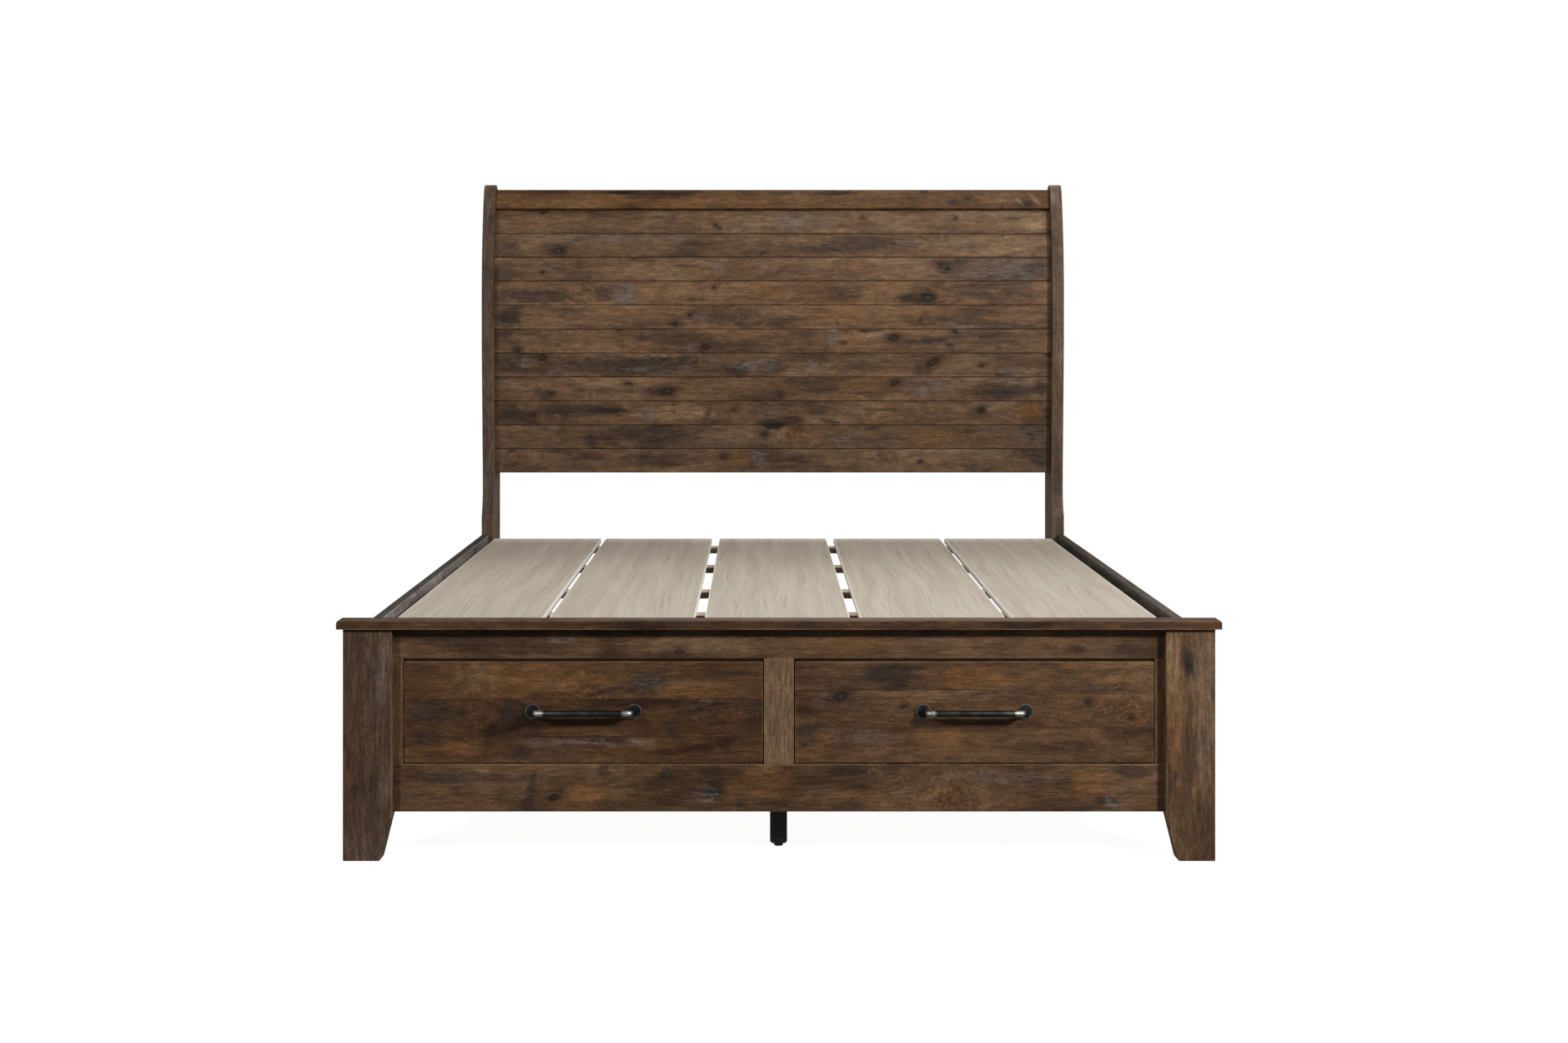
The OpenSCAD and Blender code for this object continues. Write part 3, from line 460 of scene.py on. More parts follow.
MARKS = {
    "headboard_plank_11": [
        mark("knot", -0.652, 0.86, 7, 4), mark("smoke", -0.68, 0.90, 30, 7, 0.6),
        mark("knot", -0.163, 0.37, 5, 4, 0.9), mark("knot", -0.151, 0.26, 4, 3, 0.8),
        mark("haze", 0.085, 0.50, 85, 26, 0.65), mark("haze", -0.09, 0.35, 30, 12, 0.5),
        mark("knot", 0.255, 0.65, 8, 5, 0.6), mark("knot", 0.52, 0.65, 6, 4, 0.7),
        mark("haze", 0.575, 0.72, 32, 14, 0.5), mark("smoke", 0.68, 0.62, 50, 2.2, 0.9, 0.04),
        mark("pale", 0.74, 0.45, 42, 30, 0.75), mark("pale", 0.18, 0.12, 60, 7, 0.6),
        mark("smoke", -0.45, 0.12, 90, 9, 0.45), mark("warm", -0.70, 0.45, 50, 22, 0.35)],
    "headboard_plank_10": [
        mark("knot", -0.607, 0.27, 23, 10), mark("warm", -0.565, 0.28, 22, 9, 0.6),
        mark("knot", -0.028, 0.20, 9, 2.4, 0.8, -0.25), mark("haze", -0.45, 0.78, 230, 14, 0.45),
        mark("smoke", 0.12, 0.33, 95, 11, 0.8), mark("smoke", 0.25, 0.55, 110, 24, 0.75),
        mark("haze", 0.37, 0.55, 60, 18, 0.45), mark("pale", 0.58, 0.50, 170, 32, 0.5),
        mark("haze", 0.545, 0.50, 34, 15, 0.6), mark("smoke", 0.565, 0.42, 16, 12, 0.55, 0.7),
        mark("hole", 0.652, 0.86, 2.6, 2.6), mark("smoke", -0.75, 0.3, 35, 28, 0.6)],
    "headboard_plank_09": [
        mark("knot", -0.653, 0.35, 5, 4, 0.7), mark("haze", -0.63, 0.60, 30, 14, 0.4),
        mark("swirl", -0.545, 0.70, 12, 11, 0.7), mark("knot", -0.392, 0.87, 6, 2.4, 0.7),
        # This smoke mark at the left end, cut off sharply, is a painted shadow of the post.
        mark("smoke", -0.755, 0.45, 32, 30, 0.65, 0.0, ("<", -0.722)),
        mark("swirl", -0.205, 0.45, 14, 16, 0.8), mark("haze", -0.155, 0.66, 24, 16, 0.75),
        mark("swirl", 0.225, 0.60, 22, 18, 0.9), mark("knot", 0.485, 0.58, 20, 10.5, 1.0, 0.45),
        mark("smoke", 0.535, 0.80, 28, 12, 0.75), mark("haze", 0.66, 0.45, 125, 36, 0.65),
        mark("smoke", 0.745, 0.45, 32, 26, 0.7), mark("smoke", -0.24, 0.62, 34, 4, 0.6)],
    "headboard_plank_08": [
        mark("smoke", -0.66, 0.32, 120, 22, 0.9), mark("swirl", -0.525, 0.72, 26, 20, 1.0),
        mark("black", -0.475, 0.45, 28, 20, 0.75),
        mark("haze", -0.42, 0.48, 52, 34, 0.95, 0, ("<", -0.378)),
        mark("knot", -0.166, 0.70, 5, 4, 0.8), mark("smoke", -0.225, 0.20, 42, 5, 0.85),
        mark("black", 0.395, 0.26, 48, 15, 0.95), mark("knot", 0.438, 0.30, 24, 14),
        mark("warm", 0.478, 0.30, 12, 14, 0.7), mark("smoke", 0.468, 0.85, 18, 14, 0.5),
        mark("smoke", 0.64, 0.80, 66, 2.0, 0.9, -0.03), mark("warm", 0.12, 0.55, 50, 26, 0.45),
        mark("warm", 0.0, 0.6, 60, 26, 0.35)],
    "headboard_plank_07": [
        # The first smoke mark here, at the left end and cut off sharply, is a painted shadow of the post.
        mark("smoke", -0.745, 0.50, 36, 32, 0.95, 0, ("<", -0.713)), mark("haze", -0.60, 0.90, 22, 9, 0.6),
        mark("knot", -0.275, 0.20, 8, 6, 0.9), mark("knot", -0.235, 0.55, 5, 5, 0.8),
        mark("haze", -0.215, 0.45, 26, 16, 0.6), mark("swirl", -0.07, 0.48, 20, 16, 0.9),
        mark("haze", -0.04, 0.80, 28, 12, 0.75), mark("smoke", 0.04, 0.30, 80, 17, 0.55, 0, ("<", 0.103)),
        mark("warm", 0.20, 0.50, 90, 30, 0.35), mark("hole", 0.182, 0.25, 2.6, 2.8),
        mark("knot", 0.418, 0.36, 4, 3, 0.7), mark("smoke", 0.61, 0.75, 42, 1.8, 0.9),
        mark("haze", 0.56, 0.12, 120, 7, 0.6), mark("warm", 0.63, 0.45, 26, 12, 0.5)],
    "headboard_plank_06": [
        mark("smoke", -0.755, 0.80, 24, 12, 0.8), mark("knot", -0.722, 0.12, 10, 7, 0.9),
        mark("knot", -0.435, 0.92, 5, 4, 0.6), mark("swirl", -0.42, 0.45, 12, 14, 0.7),
        mark("knot", -0.19, 0.25, 12, 8.5), mark("haze", -0.225, 0.25, 22, 12, 0.5),
        mark("haze", 0.165, 0.68, 26, 20, 0.8), mark("smoke", 0.195, 0.42, 14, 7, 0.8),
        mark("smoke", 0.275, 0.90, 36, 7, 0.9), mark("knot", 0.342, 0.60, 16, 9.5),
        mark("smoke", 0.43, 0.46, 80, 8, 0.85, -0.05), mark("knot", 0.515, 0.86, 9, 6, 0.9),
        mark("smoke", 0.503, 0.28, 17, 10, 0.8, 0.6), mark("knot", 0.59, 0.63, 4, 3, 0.8),
        mark("smoke", 0.04, 0.65, 70, 14, 0.4)],
    "headboard_plank_05": [
        mark("knot", -0.652, 0.78, 12, 11, 0.85, 0.7), mark("haze", -0.70, 0.55, 16, 20, 0.6),
        mark("haze", -0.615, 0.18, 34, 11, 0.7), mark("smoke", -0.40, 0.48, 215, 25, 0.85, 0, ("<", -0.21)),
        mark("black", -0.27, 0.72, 75, 9, 0.7, 0, ("<", -0.21)), mark("haze", -0.33, 0.30, 110, 8, 0.45),
        mark("knot", -0.118, 0.28, 18, 7, 0.8, 0.25), mark("smoke", -0.085, 0.35, 28, 20, 0.9, -0.8),
        mark("haze", -0.04, 0.42, 62, 20, 0.85), mark("smoke", 0.0, 0.36, 40, 22, 0.6),
        mark("hole", 0.134, 0.48, 2.8, 3.4), mark("haze", 0.11, 0.38, 26, 16, 0.75),
        mark("smoke", 0.25, 0.40, 80, 15, 0.6), mark("knot", 0.453, 0.58, 21, 9, 0.95, -0.55),
        mark("knot", 0.592, 0.45, 7, 4, 0.8), mark("haze", 0.665, 0.22, 30, 10, 0.8),
        mark("smoke", 0.65, 0.10, 22, 5, 0.8), mark("warm", 0.35, 0.5, 60, 26, 0.3)],
    "headboard_plank_04": [
        mark("smoke", -0.658, 0.30, 34, 17, 0.85, 0.4), mark("knot", -0.626, 0.29, 10, 7, 0.8),
        mark("knot", -0.41, 0.68, 10, 4, 0.9, 0.1), mark("smoke", -0.44, 0.38, 130, 15, 0.65),
        mark("black", -0.325, 0.45, 46, 16, 0.6, -0.25), mark("knot", -0.298, 0.38, 21, 9.5, 1.0, -0.15),
        mark("warm", -0.255, 0.30, 16, 9, 0.6), mark("swirl", -0.008, 0.80, 14, 14, 0.8),
        mark("knot", 0.02, 0.25, 6, 6, 0.7), mark("smoke", 0.17, 0.45, 56, 2.4, 0.95, -0.12),
        mark("smoke", 0.26, 0.32, 46, 2.6, 0.8, -0.05), mark("knot", 0.345, 0.70, 15, 9, 0.8, -0.3),
        mark("smoke", 0.30, 0.20, 34, 10, 0.6), mark("haze", 0.45, 0.50, 80, 32, 0.6),
        mark("smoke", 0.64, 0.40, 115, 26, 0.85), mark("black", 0.64, 0.35, 40, 8, 0.5),
        mark("haze", 0.66, 0.75, 60, 10, 0.5), mark("smoke", 0.76, 0.5, 20, 22, 0.8)],
    "headboard_plank_03": [
        mark("smoke", -0.745, 0.52, 34, 26, 0.9), mark("knot", -0.680, 0.40, 9, 8, 0.9),
        mark("smoke", -0.53, 0.56, 150, 20, 0.9), mark("black", -0.46, 0.58, 62, 9, 0.7),
        mark("haze", -0.36, 0.42, 28, 26, 0.7), mark("pale", -0.25, 0.45, 88, 32, 0.45),
        mark("knot", -0.28, 0.50, 4, 3, 0.5), mark("smoke", -0.185, 0.40, 8, 26, 0.65, 0.35),
        mark("knot", -0.11, 0.58, 6, 5, 0.6), mark("haze", -0.012, 0.60, 40, 24, 0.55),
        mark("black", -0.005, 0.02, 46, 13, 1.0), mark("black", 0.055, 0.20, 32, 13, 0.9),
        mark("smoke", 0.13, 0.58, 28, 15, 0.8), mark("smoke", 0.160, 0.16, 30, 9, 0.75, 0.3),
        mark("swirl", 0.275, 0.55, 24, 20, 1.0), mark("smoke", 0.32, 0.60, 46, 5, 0.7),
        mark("knot", 0.592, 0.58, 12, 9, 1.0), mark("pale", 0.65, 0.72, 42, 7, 0.6, -0.2),
        mark("swirl", 0.735, 0.55, 36, 30, 1.0), mark("warm", 0.73, 0.55, 36, 28, 0.6)],
    "headboard_plank_02": [
        mark("haze", -0.645, 0.88, 24, 7, 0.8), mark("swirl", -0.60, 0.55, 18, 16, 0.8),
        mark("smoke", -0.515, 0.30, 24, 18, 0.75, 0.7), mark("black", -0.495, 0.03, 20, 4, 0.9),
        mark("smoke", -0.31, 0.60, 120, 30, 0.75), mark("black", -0.30, 0.92, 50, 7, 0.5),
        mark("haze", -0.135, 0.30, 20, 16, 0.7), mark("knot", -0.022, 0.58, 11, 9, 0.8),
        mark("black", 0.005, 0.90, 44, 12, 1.0), mark("swirl", 0.062, 0.65, 34, 24, 1.0),
        mark("smoke", 0.085, 0.75, 24, 12, 0.7), mark("warm", 0.10, 0.52, 36, 24, 0.6),
        mark("haze", 0.20, 0.32, 28, 20, 0.75), mark("smoke", 0.285, 0.84, 24, 10, 0.75),
        mark("smoke", 0.735, 0.62, 36, 26, 0.85), mark("haze", 0.735, 0.55, 34, 26, 0.45),
        mark("warm", 0.45, 0.55, 110, 30, 0.35)],
    "headboard_plank_01": [
        mark("smoke", -0.74, 0.88, 16, 6, 0.8), mark("swirl", -0.73, 0.50, 28, 24, 0.8),
        mark("smoke", -0.60, 0.84, 90, 7, 0.6), mark("smoke", -0.32, 0.45, 130, 20, 0.65),
        mark("black", -0.31, 0.35, 46, 9, 0.4), mark("knot", -0.135, 0.62, 14, 9, 0.75),
        mark("warm", -0.09, 0.60, 46, 26, 0.55), mark("smoke", -0.052, 0.58, 16, 26, 0.75, 0.5),
        mark("haze", -0.04, 0.66, 24, 22, 0.7), mark("swirl", 0.31, 0.58, 30, 24, 1.0),
        mark("haze", 0.30, 0.55, 40, 22, 0.45), mark("knot", 0.418, 0.42, 6, 5, 0.9),
        mark("smoke", 0.76, 0.55, 26, 26, 0.75), mark("haze", 0.50, 0.80, 160, 9, 0.4)],
    "headboard_top_rail": [
        mark("black", -0.425, 0.86, 44, 5, 1.0), mark("black", -0.285, 0.82, 56, 6, 0.8),
        mark("black", 0.025, 0.84, 36, 4, 0.9), mark("black", 0.165, 0.82, 70, 6, 1.0),
        mark("knot", 0.43, 0.92, 10, 5, 0.9), mark("knot", 0.555, 0.56, 8, 5, 0.9),
        mark("smoke", 0.515, 0.42, 30, 7, 0.8), mark("knot", 0.725, 0.32, 12, 9, 0.9),
        mark("pale", 0.745, 0.55, 22, 7, 0.6, 0.9), mark("pale", 0.70, 0.45, 18, 6, 0.5, 0.8),
        mark("smoke", 0.652, 0.22, 7, 9, 0.7), mark("warm", -0.3, 0.35, 420, 20, 0.4)],
    "footboard_top_rail": [
        mark("pale", -0.15, 0.45, 110, 20, 0.4), mark("knot", -0.187, 0.22, 9, 6, 0.8),
        mark("smoke", 0.665, 0.32, 34, 12, 0.8), mark("knot", 0.565, 0.30, 8, 5, 0.7),
        mark("smoke", -0.60, 0.60, 130, 12, 0.5), mark("haze", 0.28, 0.72, 40, 10, 0.5),
        mark("haze", -0.41, 0.62, 26, 8, 0.7), mark("warm", 0.13, 0.5, 90, 20, 0.4)],
    "footboard_bottom_rail": [
        mark("smoke", -0.61, 0.72, 105, 13, 0.65), mark("smoke", -0.468, 0.45, 10, 34, 0.8, 0.25),
        mark("knot", -0.425, 0.30, 13, 6, 0.9, -0.5), mark("warm", -0.365, 0.35, 40, 30, 0.6),
        mark("smoke", -0.33, 0.85, 12, 18, 0.65), mark("smoke", -0.215, 0.85, 8, 10, 0.8),
        mark("black", -0.118, 0.45, 22, 20, 0.85, -0.5), mark("haze", -0.135, 0.36, 22, 14, 0.8),
        mark("knot", -0.072, 0.80, 7, 5, 0.9), mark("warm", -0.03, 0.60, 60, 30, 0.5),
        mark("smoke", 0.135, 0.86, 42, 15, 0.9, 0.0, ("<", 0.168)), mark("smoke", 0.13, 0.12, 40, 7, 0.7),
        mark("swirl", 0.325, 0.35, 42, 32, 1.0), mark("haze", 0.40, 0.70, 110, 14, 0.45),
        mark("black", 0.615, 0.20, 24, 12, 0.9, 0.4), mark("haze", 0.63, 0.22, 18, 14, 0.8),
        mark("warm", 0.585, 0.60, 34, 34, 0.55), mark("smoke", 0.67, 0.85, 40, 14, 0.8)],
}


def shifted(marks, middle):
    """Marks given from the bed's centre line, moved to a board whose middle is elsewhere."""
    return [(k, place - middle, s, a, b, c, t, (cut[0], cut[1] - middle) if cut else None)
            for k, place, s, a, b, c, t, cut in marks]


# Places here are from the bed's centre line
DRAWER_MARKS = {
    "left": [
        mark("warm", -0.47, 0.82, 120, 34, 0.55), mark("pale", -0.565, 0.86, 40, 26, 0.2),
        mark("swirl", -0.365, 0.70, 24, 16, 0.9), mark("smoke", -0.325, 0.71, 40, 6, 0.85, -0.2),
        mark("smoke", -0.25, 0.80, 48, 24, 0.9, -0.3), mark("haze", -0.245, 0.78, 26, 14, 0.42),
        mark("haze", -0.43, 0.76, 34, 9, 0.3), mark("smoke", -0.10, 0.88, 50, 6, 0.8),
        mark("warm", -0.15, 0.70, 90, 14, 0.4), mark("smoke", -0.655, 0.50, 52, 24, 0.8),
        mark("swirl", -0.56, 0.48, 30, 26, 1.0), mark("black", -0.563, 0.44, 16, 8, 0.7),
        mark("smoke", -0.512, 0.52, 12, 20, 0.75), mark("smoke", -0.20, 0.33, 12, 18, 0.9),
        mark("swirl", -0.085, 0.49, 50, 15, 0.9), mark("haze", -0.145, 0.55, 36, 18, 0.36),
        mark("smoke", -0.05, 0.55, 36, 16, 0.5), mark("smoke", -0.665, 0.24, 40, 14, 0.8),
        mark("black", -0.548, 0.25, 9, 36, 0.6, 0.2), mark("haze", -0.32, 0.20, 90, 8, 0.57),
        mark("haze", -0.44, 0.20, 60, 10, 0.3), mark("smoke", -0.485, 0.08, 24, 14, 0.7),
        mark("black", -0.205, 0.10, 22, 5, 0.6), mark("smoke", -0.068, 0.20, 6, 9, 0.8),
        mark("warm", -0.60, 0.14, 50, 14, 0.6)],
    "right": [
        mark("smoke", 0.205, 0.88, 60, 22, 0.85), mark("black", 0.245, 0.94, 34, 6, 0.7),
        mark("smoke", 0.222, 0.75, 24, 8, 0.85), mark("warm", 0.36, 0.84, 60, 26, 0.5),
        mark("knot", 0.118, 0.66, 15, 9, 0.9, -0.3), mark("smoke", 0.095, 0.64, 10, 16, 0.8, 0.6),
        mark("haze", 0.08, 0.62, 22, 12, 0.42), mark("smoke", 0.51, 0.96, 28, 6, 0.7),
        mark("knot", 0.582, 0.60, 5, 4, 0.9), mark("knot", 0.235, 0.56, 6, 4, 0.8),
        mark("swirl", 0.665, 0.47, 40, 30, 1.0), mark("knot", 0.665, 0.46, 7, 5, 0.9),
        mark("smoke", 0.60, 0.70, 90, 5, 0.5), mark("smoke", 0.055, 0.30, 34, 16, 0.7),
        mark("swirl", 0.083, 0.29, 16, 13, 0.9), mark("knot", 0.047, 0.17, 6, 4, 0.7),
        mark("haze", 0.16, 0.26, 56, 18, 0.3), mark("warm", 0.32, 0.22, 70, 26, 0.4),
        mark("warm", 0.06, 0.10, 36, 12, 0.5), mark("haze", 0.38, 0.66, 100, 7, 0.3)],
}
# Linear colours of the stains: dark, middle and light
TONES = {
    "plank_bright": ((0.062, 0.033, 0.016), (0.112, 0.063, 0.032), (0.185, 0.120, 0.070)),
    "plank": ((0.046, 0.026, 0.014), (0.096, 0.052, 0.026), (0.150, 0.088, 0.048)),
    "plank_dark": ((0.032, 0.019, 0.011), (0.080, 0.046, 0.025), (0.130, 0.076, 0.041)),
    "top_rail": ((0.038, 0.017, 0.007), (0.098, 0.048, 0.019), (0.152, 0.086, 0.040)),
    "foot_rail": ((0.034, 0.018, 0.009), (0.072, 0.038, 0.019), (0.108, 0.059, 0.029)),
    "front_left": ((0.020, 0.0095, 0.0045), (0.052, 0.0245, 0.0105), (0.084, 0.042, 0.019)),
    "front_right": ((0.028, 0.0135, 0.0065), (0.068, 0.035, 0.017), (0.120, 0.065, 0.032)),
    "cap": ((0.020, 0.0095, 0.0045), (0.045, 0.0215, 0.0100), (0.074, 0.0380, 0.0185)),
    "post_left": ((0.033, 0.018, 0.010), (0.056, 0.032, 0.019), (0.090, 0.062, 0.045)),
    "post_right": ((0.036, 0.019, 0.011), (0.067, 0.036, 0.018), (0.118, 0.072, 0.041)),
    "head_post": ((0.044, 0.029, 0.019), (0.072, 0.046, 0.030), (0.115, 0.082, 0.060)),
    "stile": ((0.030, 0.015, 0.007), (0.056, 0.028, 0.013), (0.088, 0.046, 0.021)),
    "stile_light": ((0.066, 0.038, 0.022), (0.112, 0.067, 0.037), (0.162, 0.104, 0.058)),
}
# Stain and brightness of each plank, the lowest first
PLANK_TONES = [("plank_dark", 1.16), ("plank_dark", 1.00), ("plank", 0.96), ("plank", 0.99),
               ("plank_dark", 1.07), ("plank", 1.18), ("plank", 1.26), ("plank", 1.22),
               ("plank", 0.95), ("plank", 0.98), ("plank_bright", 0.94)]
POST_MARKS = {
    "left": [mark("haze", 0.14, 0.80, 70, 9, 0.35), mark("haze", 0.05, 0.72, 60, 6, 0.3),
             mark("smoke", -0.10, 0.62, 55, 12, 0.6), mark("smoke", 0.12, 0.52, 40, 5, 0.6)],
    "right": [mark("pale", 0.150, 0.10, 75, 18, 0.55), mark("smoke", 0.155, 0.45, 36, 15, 0.9, 0.25),
              mark("black", 0.148, 0.46, 14, 7, 0.7, 0.3), mark("warm", 0.03, 0.18, 90, 12, 0.6),
              mark("haze", -0.02, 0.76, 80, 10, 0.5), mark("smoke", -0.13, 0.70, 50, 14, 0.5)],
}
STRIPS = {"left": (0.26, 0.63), "right": (0.35, 0.72)}      # glued joints of the drawer fronts
# Painted light: the end stiles beside the posts are brightened against the shade they sit in
STILE_PAINTED_LIGHT = {"left": 1.5, "right": 1.1}
HEAD_POST_BRIGHT = {"left": 0.98, "right": 1.14}
# Painted light and shade on the side rails: the left rail's inner face is lightened as if lit, the right
# rail's inner face is darkened as if in shade, and both tops are darkened
RAIL_PAINTED_LIGHT = {"left": [("Z", 1, (0.34, 0.50, 0.85)), ("X", 1, (2.5, 4.0, 7.2))],
              "right": [("Z", 1, (0.55, 0.75, 1.10)), ("X", -1, (0.60, 0.85, 1.30))]}


def stain_all():
    for i, (tones, bright) in enumerate(PLANK_TONES):
        name = "headboard_plank_%02d" % (i + 1)
        stained_wood(name, "x", TONES[tones], 11 + i, MARKS[name], grooved=True, bright=bright)
    for i, (name, tones, bright) in enumerate((("headboard_top_rail", "top_rail", 0.80),
                                               ("footboard_top_rail", "foot_rail", 1.10),
                                               ("footboard_bottom_rail", "foot_rail", 1.07))):
        stained_wood(name, "x", TONES[tones], 31 + i, MARKS[name], 0.4, bright=bright)
    # Painted shade: the cap's top face is darkened.
    stained_wood("footboard_cap", "x", TONES["cap"], 34, facing_light=[("Z", 1, (0.72, 0.64, 0.56))])
    stained_wood("headboard_stretcher", "x", TONES["cap"], 35)
    for side, seed in (("left", 40), ("right", 50)):
        front = "drawer_%s_front" % side
        stained_wood(front, "x", TONES["front_" + side], seed,
                     shifted(DRAWER_MARKS[side], Board(front, "x").middle.x), 0.4, 0.3,
                     joints=STRIPS[side])
        # The side rails take painted light and shade on their tops and inner faces.
        stained_wood("side_rail_" + side, "y", TONES["foot_rail"], seed + 1, facing_light=RAIL_PAINTED_LIGHT[side])
        stained_wood("footboard_stile_" + side, "z", TONES["stile"], seed + 2, smoky=0.3,
                     bright=STILE_PAINTED_LIGHT[side])
        stained_wood("headboard_post_" + side, "z", TONES["head_post"], seed + 3,
                     bright=HEAD_POST_BRIGHT[side])
        stained_wood("footboard_post_" + side, "z", TONES["post_" + side], seed + 4, POST_MARKS[side])
    stained_wood("footboard_stile_centre", "z", TONES["stile_light"], 63, smoky=0.3)


# ---------------------------------------------------------------- other materials
# Linear colours
SAWN = ((0.30, 0.235, 0.155), (0.46, 0.37, 0.26))
SAWN_BAND = (0.24, 0.17, 0.10)
SAWN_FIBRE = (0.20, 0.14, 0.085)
TAUPE = ((0.365, 0.316, 0.254), (0.437, 0.387, 0.316))
TAUPE_LINE = (0.265, 0.213, 0.162)
TAUPE_FIBRE = (0.240, 0.188, 0.140)
TAUPE_EDGE_HIGHLIGHT = (0.74, 0.71, 0.65)
PEWTER = ((0.020, 0.0215, 0.020), (0.050, 0.053, 0.049))
PEWTER_WORN = (0.36, 0.35, 0.32)
ZINC = ((0.42, 0.42, 0.43), (0.60, 0.60, 0.61))
BLACK = ((0.008, 0.008, 0.009), (0.022, 0.021, 0.020))
# The handle's bends and roses, from its ends and its front
BEND_IN = 0.0265
BEND_BACK = 0.006
ROSE_IN = 0.014
RIM_FROM, RIM_TO = 0.0128, 0.0140    # from the middle of the rose
ROSE_FROM, ROSE_TO = 0.008, 0.005    # from the back of the rose


def plain_wood(node, along, seed, facing_light=()):
    """Sawn poplar or pine, pale and unstained."""
    material, g = new_material("plain_" + node)
    point = g.vector("ADD", board_point(g, Board(node, along)), (seed * 1.1, seed * 0.7, seed * 0.3))
    cloud = g.noise(point, (1.5, 14.0, 14.0), 3.0)
    bands = g.noise(point, (1.2, 90.0, 90.0), 3.0)
    fibre = g.noise(point, (20.0, 600.0, 600.0), 2.0)
    colour = g.mix(g.fade(cloud, 0.3, 0.7), *SAWN)
    colour = g.mix(g.fade(bands, 0.5, 0.75, 0.0, 0.5), colour, SAWN_BAND)
    colour = g.mix(g.fade(fibre, 0.55, 0.8, 0.0, 0.35), colour, SAWN_FIBRE)
    # Painted light and shade on whole faces, by the way they look
    if facing_light:
        colour = paint_facing_light(g, colour, facing_light)
    height = g.math("ADD", g.math("MULTIPLY", fibre, 0.6), g.math("MULTIPLY", bands, 0.4))
    finish_material(g, colour, g.fade(fibre, 0.3, 0.7, 0.62, 0.8), height, 0.00012, specular=0.15)
    paint(node, material)


def laminate(node, seed):
    """Pale taupe wood-grain laminate with fine wavy lines along the panel and a painted highlight along its
    edges.
    """
    material, g = new_material("laminate_" + node)
    board = Board(node, "deck")
    local = board_point(g, board)
    point = g.vector("ADD", local, (seed * 1.3, seed * 0.9, 0.0))
    wave = g.noise(point, (1.6, 5.0, 1.0), 2.0)
    sway = g.math("MULTIPLY", g.math("SUBTRACT", wave, 0.5), 0.05)
    figure = g.vector("ADD", point, g.join(Y=sway))
    lines = g.noise(figure, (2.2, 210.0, 1.0), 3.0, 0.6)
    broad = g.noise(figure, (1.2, 30.0, 1.0), 3.0, 0.6)
    fibre = g.noise(figure, (14.0, 700.0, 1.0), 2.0)
    colour = g.mix(g.fade(broad, 0.3, 0.7), *TAUPE)
    colour = g.mix(g.fade(lines, 0.52, 0.68, 0.0, 0.50), colour, TAUPE_LINE)
    colour = g.mix(g.fade(fibre, 0.52, 0.75, 0.0, 0.35), colour, TAUPE_FIBRE)
    from_middle = g.math("ABSOLUTE", g.split(local)["Y"])
    to_edge = g.math("SUBTRACT", board.face_height / 2, from_middle)
    # Painted highlight along the panel's edges
    colour = g.mix(g.fade(to_edge, 0.0030, 0.0012, 0.0, 0.8), colour, TAUPE_EDGE_HIGHLIGHT)
    finish_material(g, colour, g.fade(lines, 0.3, 0.7, 0.60, 0.72), lines, 0.00005, specular=0.1)
    paint(node, material)


def handle_metal(node):
    """Dark pewter, worn bright on the two bends and along the rims of the roses."""
    material, g = new_material("pewter_" + node)
    low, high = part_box(node)
    middle = (low + high) / 2
    half, depth = (high.x - low.x) / 2, high.y - low.y
    place = g.place()
    local = g.vector("SUBTRACT", place, (middle.x, low.y, middle.z))
    point = g.vector("ABSOLUTE", local)
    from_bend = g.vector("LENGTH", g.vector("SUBTRACT", point, (half - BEND_IN, BEND_BACK, 0.0)))
    flat = g.vector("MULTIPLY", g.vector("SUBTRACT", point, (half - ROSE_IN, 0.0, 0.0)), (1.0, 0.0, 1.0))
    from_rose = g.vector("LENGTH", flat)
    mottle = g.noise(place, (160.0, 160.0, 160.0), 4.0)
    broad = g.noise(place, (40.0, 40.0, 40.0), 2.0)
    worn = g.fade(g.math("ADD", from_bend, g.math("MULTIPLY", mottle, 0.006)), 0.0165, 0.0100, 0.0, 0.95)
    rim = g.fade(g.math("ADD", from_rose, g.math("MULTIPLY", mottle, 0.001)), RIM_FROM, RIM_TO, 0.0, 0.6)
    on_rose = g.fade(g.split(local)["Y"], depth - ROSE_FROM, depth - ROSE_TO)
    rim = g.math("MULTIPLY", rim, on_rose)
    colour = g.mix(g.fade(broad, 0.3, 0.7), *PEWTER)
    colour = g.mix(g.math("MAXIMUM", worn, rim), colour, PEWTER_WORN)
    roughness = g.fade(mottle, 0.3, 0.7, 0.40, 0.56)
    finish_material(g, colour, roughness, mottle, 0.00015, metallic=1.0)
    paint(node, material)


def plated_steel(node):
    """Zinc plate with a faint drawn grain."""
    material, g = new_material("steel_" + node)
    place = g.place()
    grain = g.noise(place, (30.0, 6.0, 700.0), 2.0)
    cloud = g.noise(place, (25.0, 25.0, 25.0), 3.0)
    colour = g.mix(g.fade(cloud, 0.3, 0.7), *ZINC)
    finish_material(g, colour, g.fade(grain, 0.3, 0.7, 0.28, 0.45), grain, 0.00008, metallic=1.0)
    paint(node, material)


def black_coat(node, roughness):
    """Black powder coat or nylon with a fine orange-peel skin."""
    material, g = new_material("black_" + node)
    place = g.place()
    peel = g.noise(place, (900.0, 900.0, 900.0), 2.0)
    dust = g.noise(place, (60.0, 60.0, 25.0), 4.0)
    colour = g.mix(g.fade(dust, 0.45, 0.8), *BLACK)
    finish_material(g, colour, g.fade(dust, 0.3, 0.7, roughness, roughness + 0.15), peel, 0.00012)
    paint(node, material)


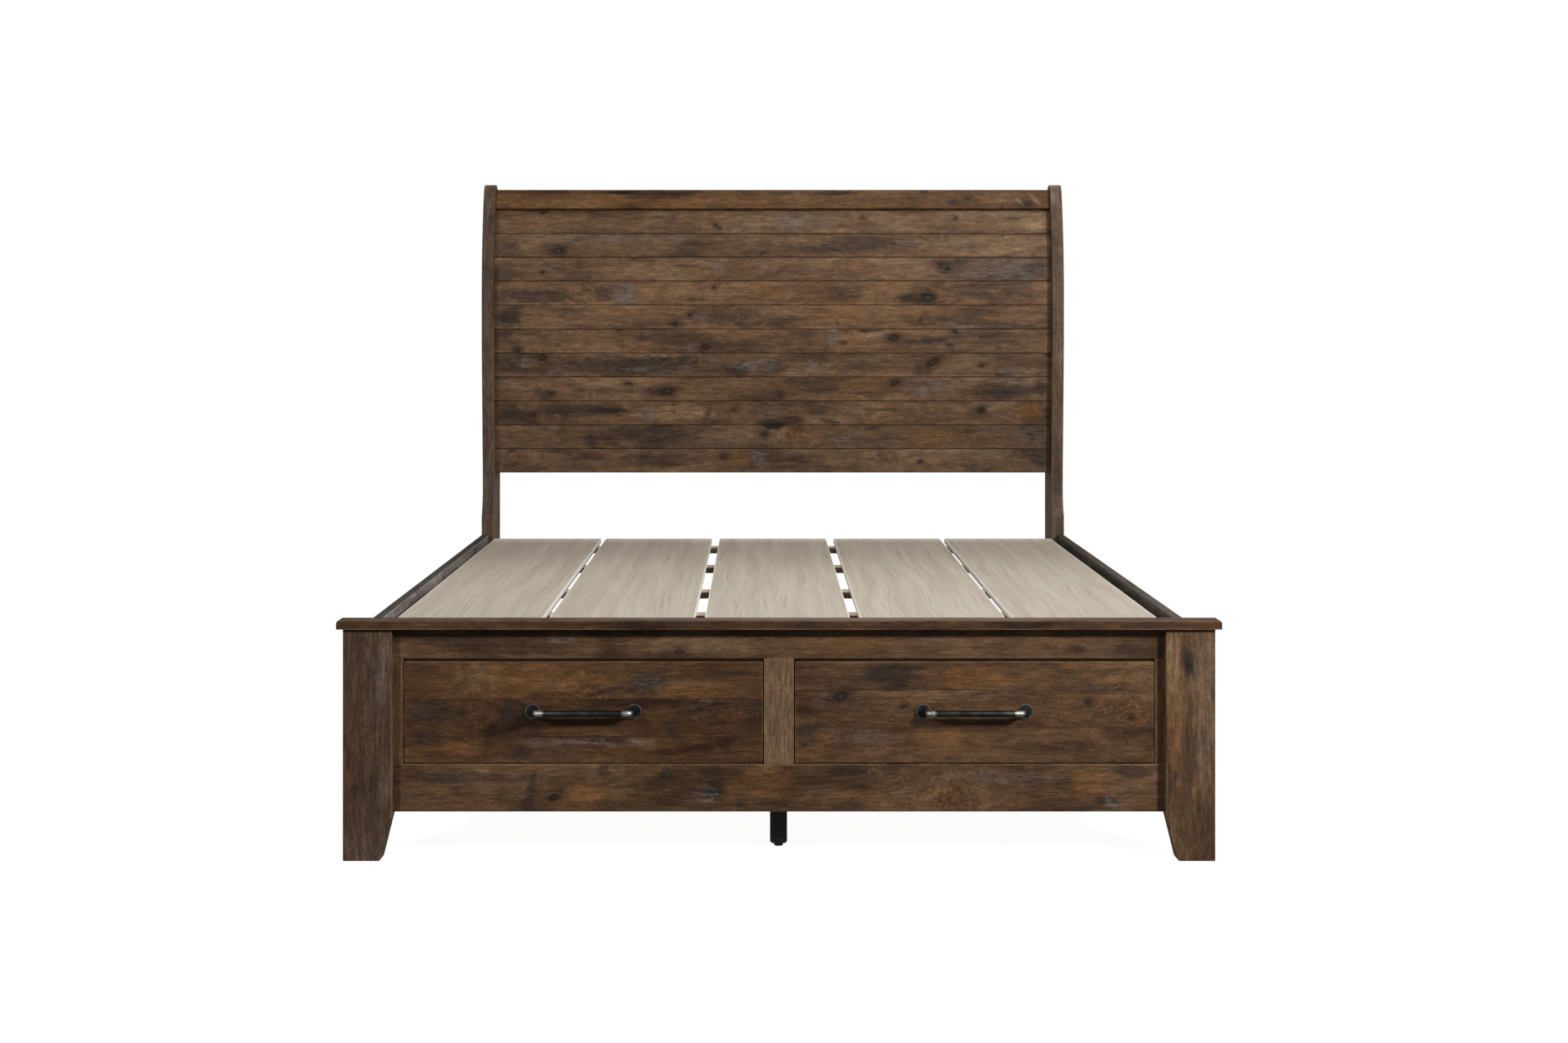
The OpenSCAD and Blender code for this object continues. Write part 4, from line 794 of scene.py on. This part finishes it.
# Painted shade darkens the slats' front faces, and painted light brightens their tops
SLAT_PAINTED_LIGHT = [("Y", -1, (0.40, 0.37, 0.35)), ("Z", 1, (1.30, 1.35, 1.45))]


def finish_others():
    for i in range(5):
        laminate("platform_panel_%d" % (i + 1), 3 + i)
        plain_wood("slat_%d" % (i + 1), "x", 10 + i, SLAT_PAINTED_LIGHT)
    for i, (node, along) in enumerate((("case_sides", "y"), ("case_dividers", "y"), ("case_back", "x"),
                                       ("case_bottom", "x"), ("cleats", "y"), ("headboard_ribs", "z"))):
        plain_wood(node, along, 20 + i)
    for side in ("left", "right"):
        plain_wood("drawer_%s_box" % side, "y", 30)
        plain_wood("drawer_%s_bottom" % side, "deck", 33)
        handle_metal("drawer_%s_handle" % side)
        for member in ("slide_middle_", "slide_inner_"):
            plated_steel(member + side)
    for node in ("slide_outer_members", "hook_plates", "hook_plate_screws"):
        plated_steel(node)
    for node, roughness in (("case_leg", 0.38), ("slat_legs", 0.38), ("leg_glides", 0.5)):
        black_coat(node, roughness)


# ---------------------------------------------------------------- eased edges
EASE_FITTING = 0.0004
EASE_SHEET = 0.0003          # sheet metal
EASE_PLANK = 0.0006
EASE_BOARD = 0.0016
EASE_ABOVE = 35              # degrees between the faces
WELD_WITHIN = 0.00002


def ease_edges():
    """Rounds every sharp edge a little, as sanding and plating leave them."""
    for name, obj in nodes.items():
        if name.endswith("_handle") or name == "hook_plate_screws":
            width = EASE_FITTING
        elif name.startswith("slide_") or name == "hook_plates":
            width = EASE_SHEET
        elif name.startswith("headboard_plank"):
            width = EASE_PLANK
        else:
            width = EASE_BOARD
        weld = obj.modifiers.new("weld", "WELD")
        weld.merge_threshold = WELD_WITHIN
        bevel = obj.modifiers.new("ease", "BEVEL")
        bevel.width = width
        bevel.segments = 2
        bevel.limit_method = "ANGLE"
        bevel.angle_limit = math.radians(EASE_ABOVE)
        bevel.harden_normals = False
        bevel.use_clamp_overlap = True


make_camera()
make_studio()
stain_all()
finish_others()
ease_edges()
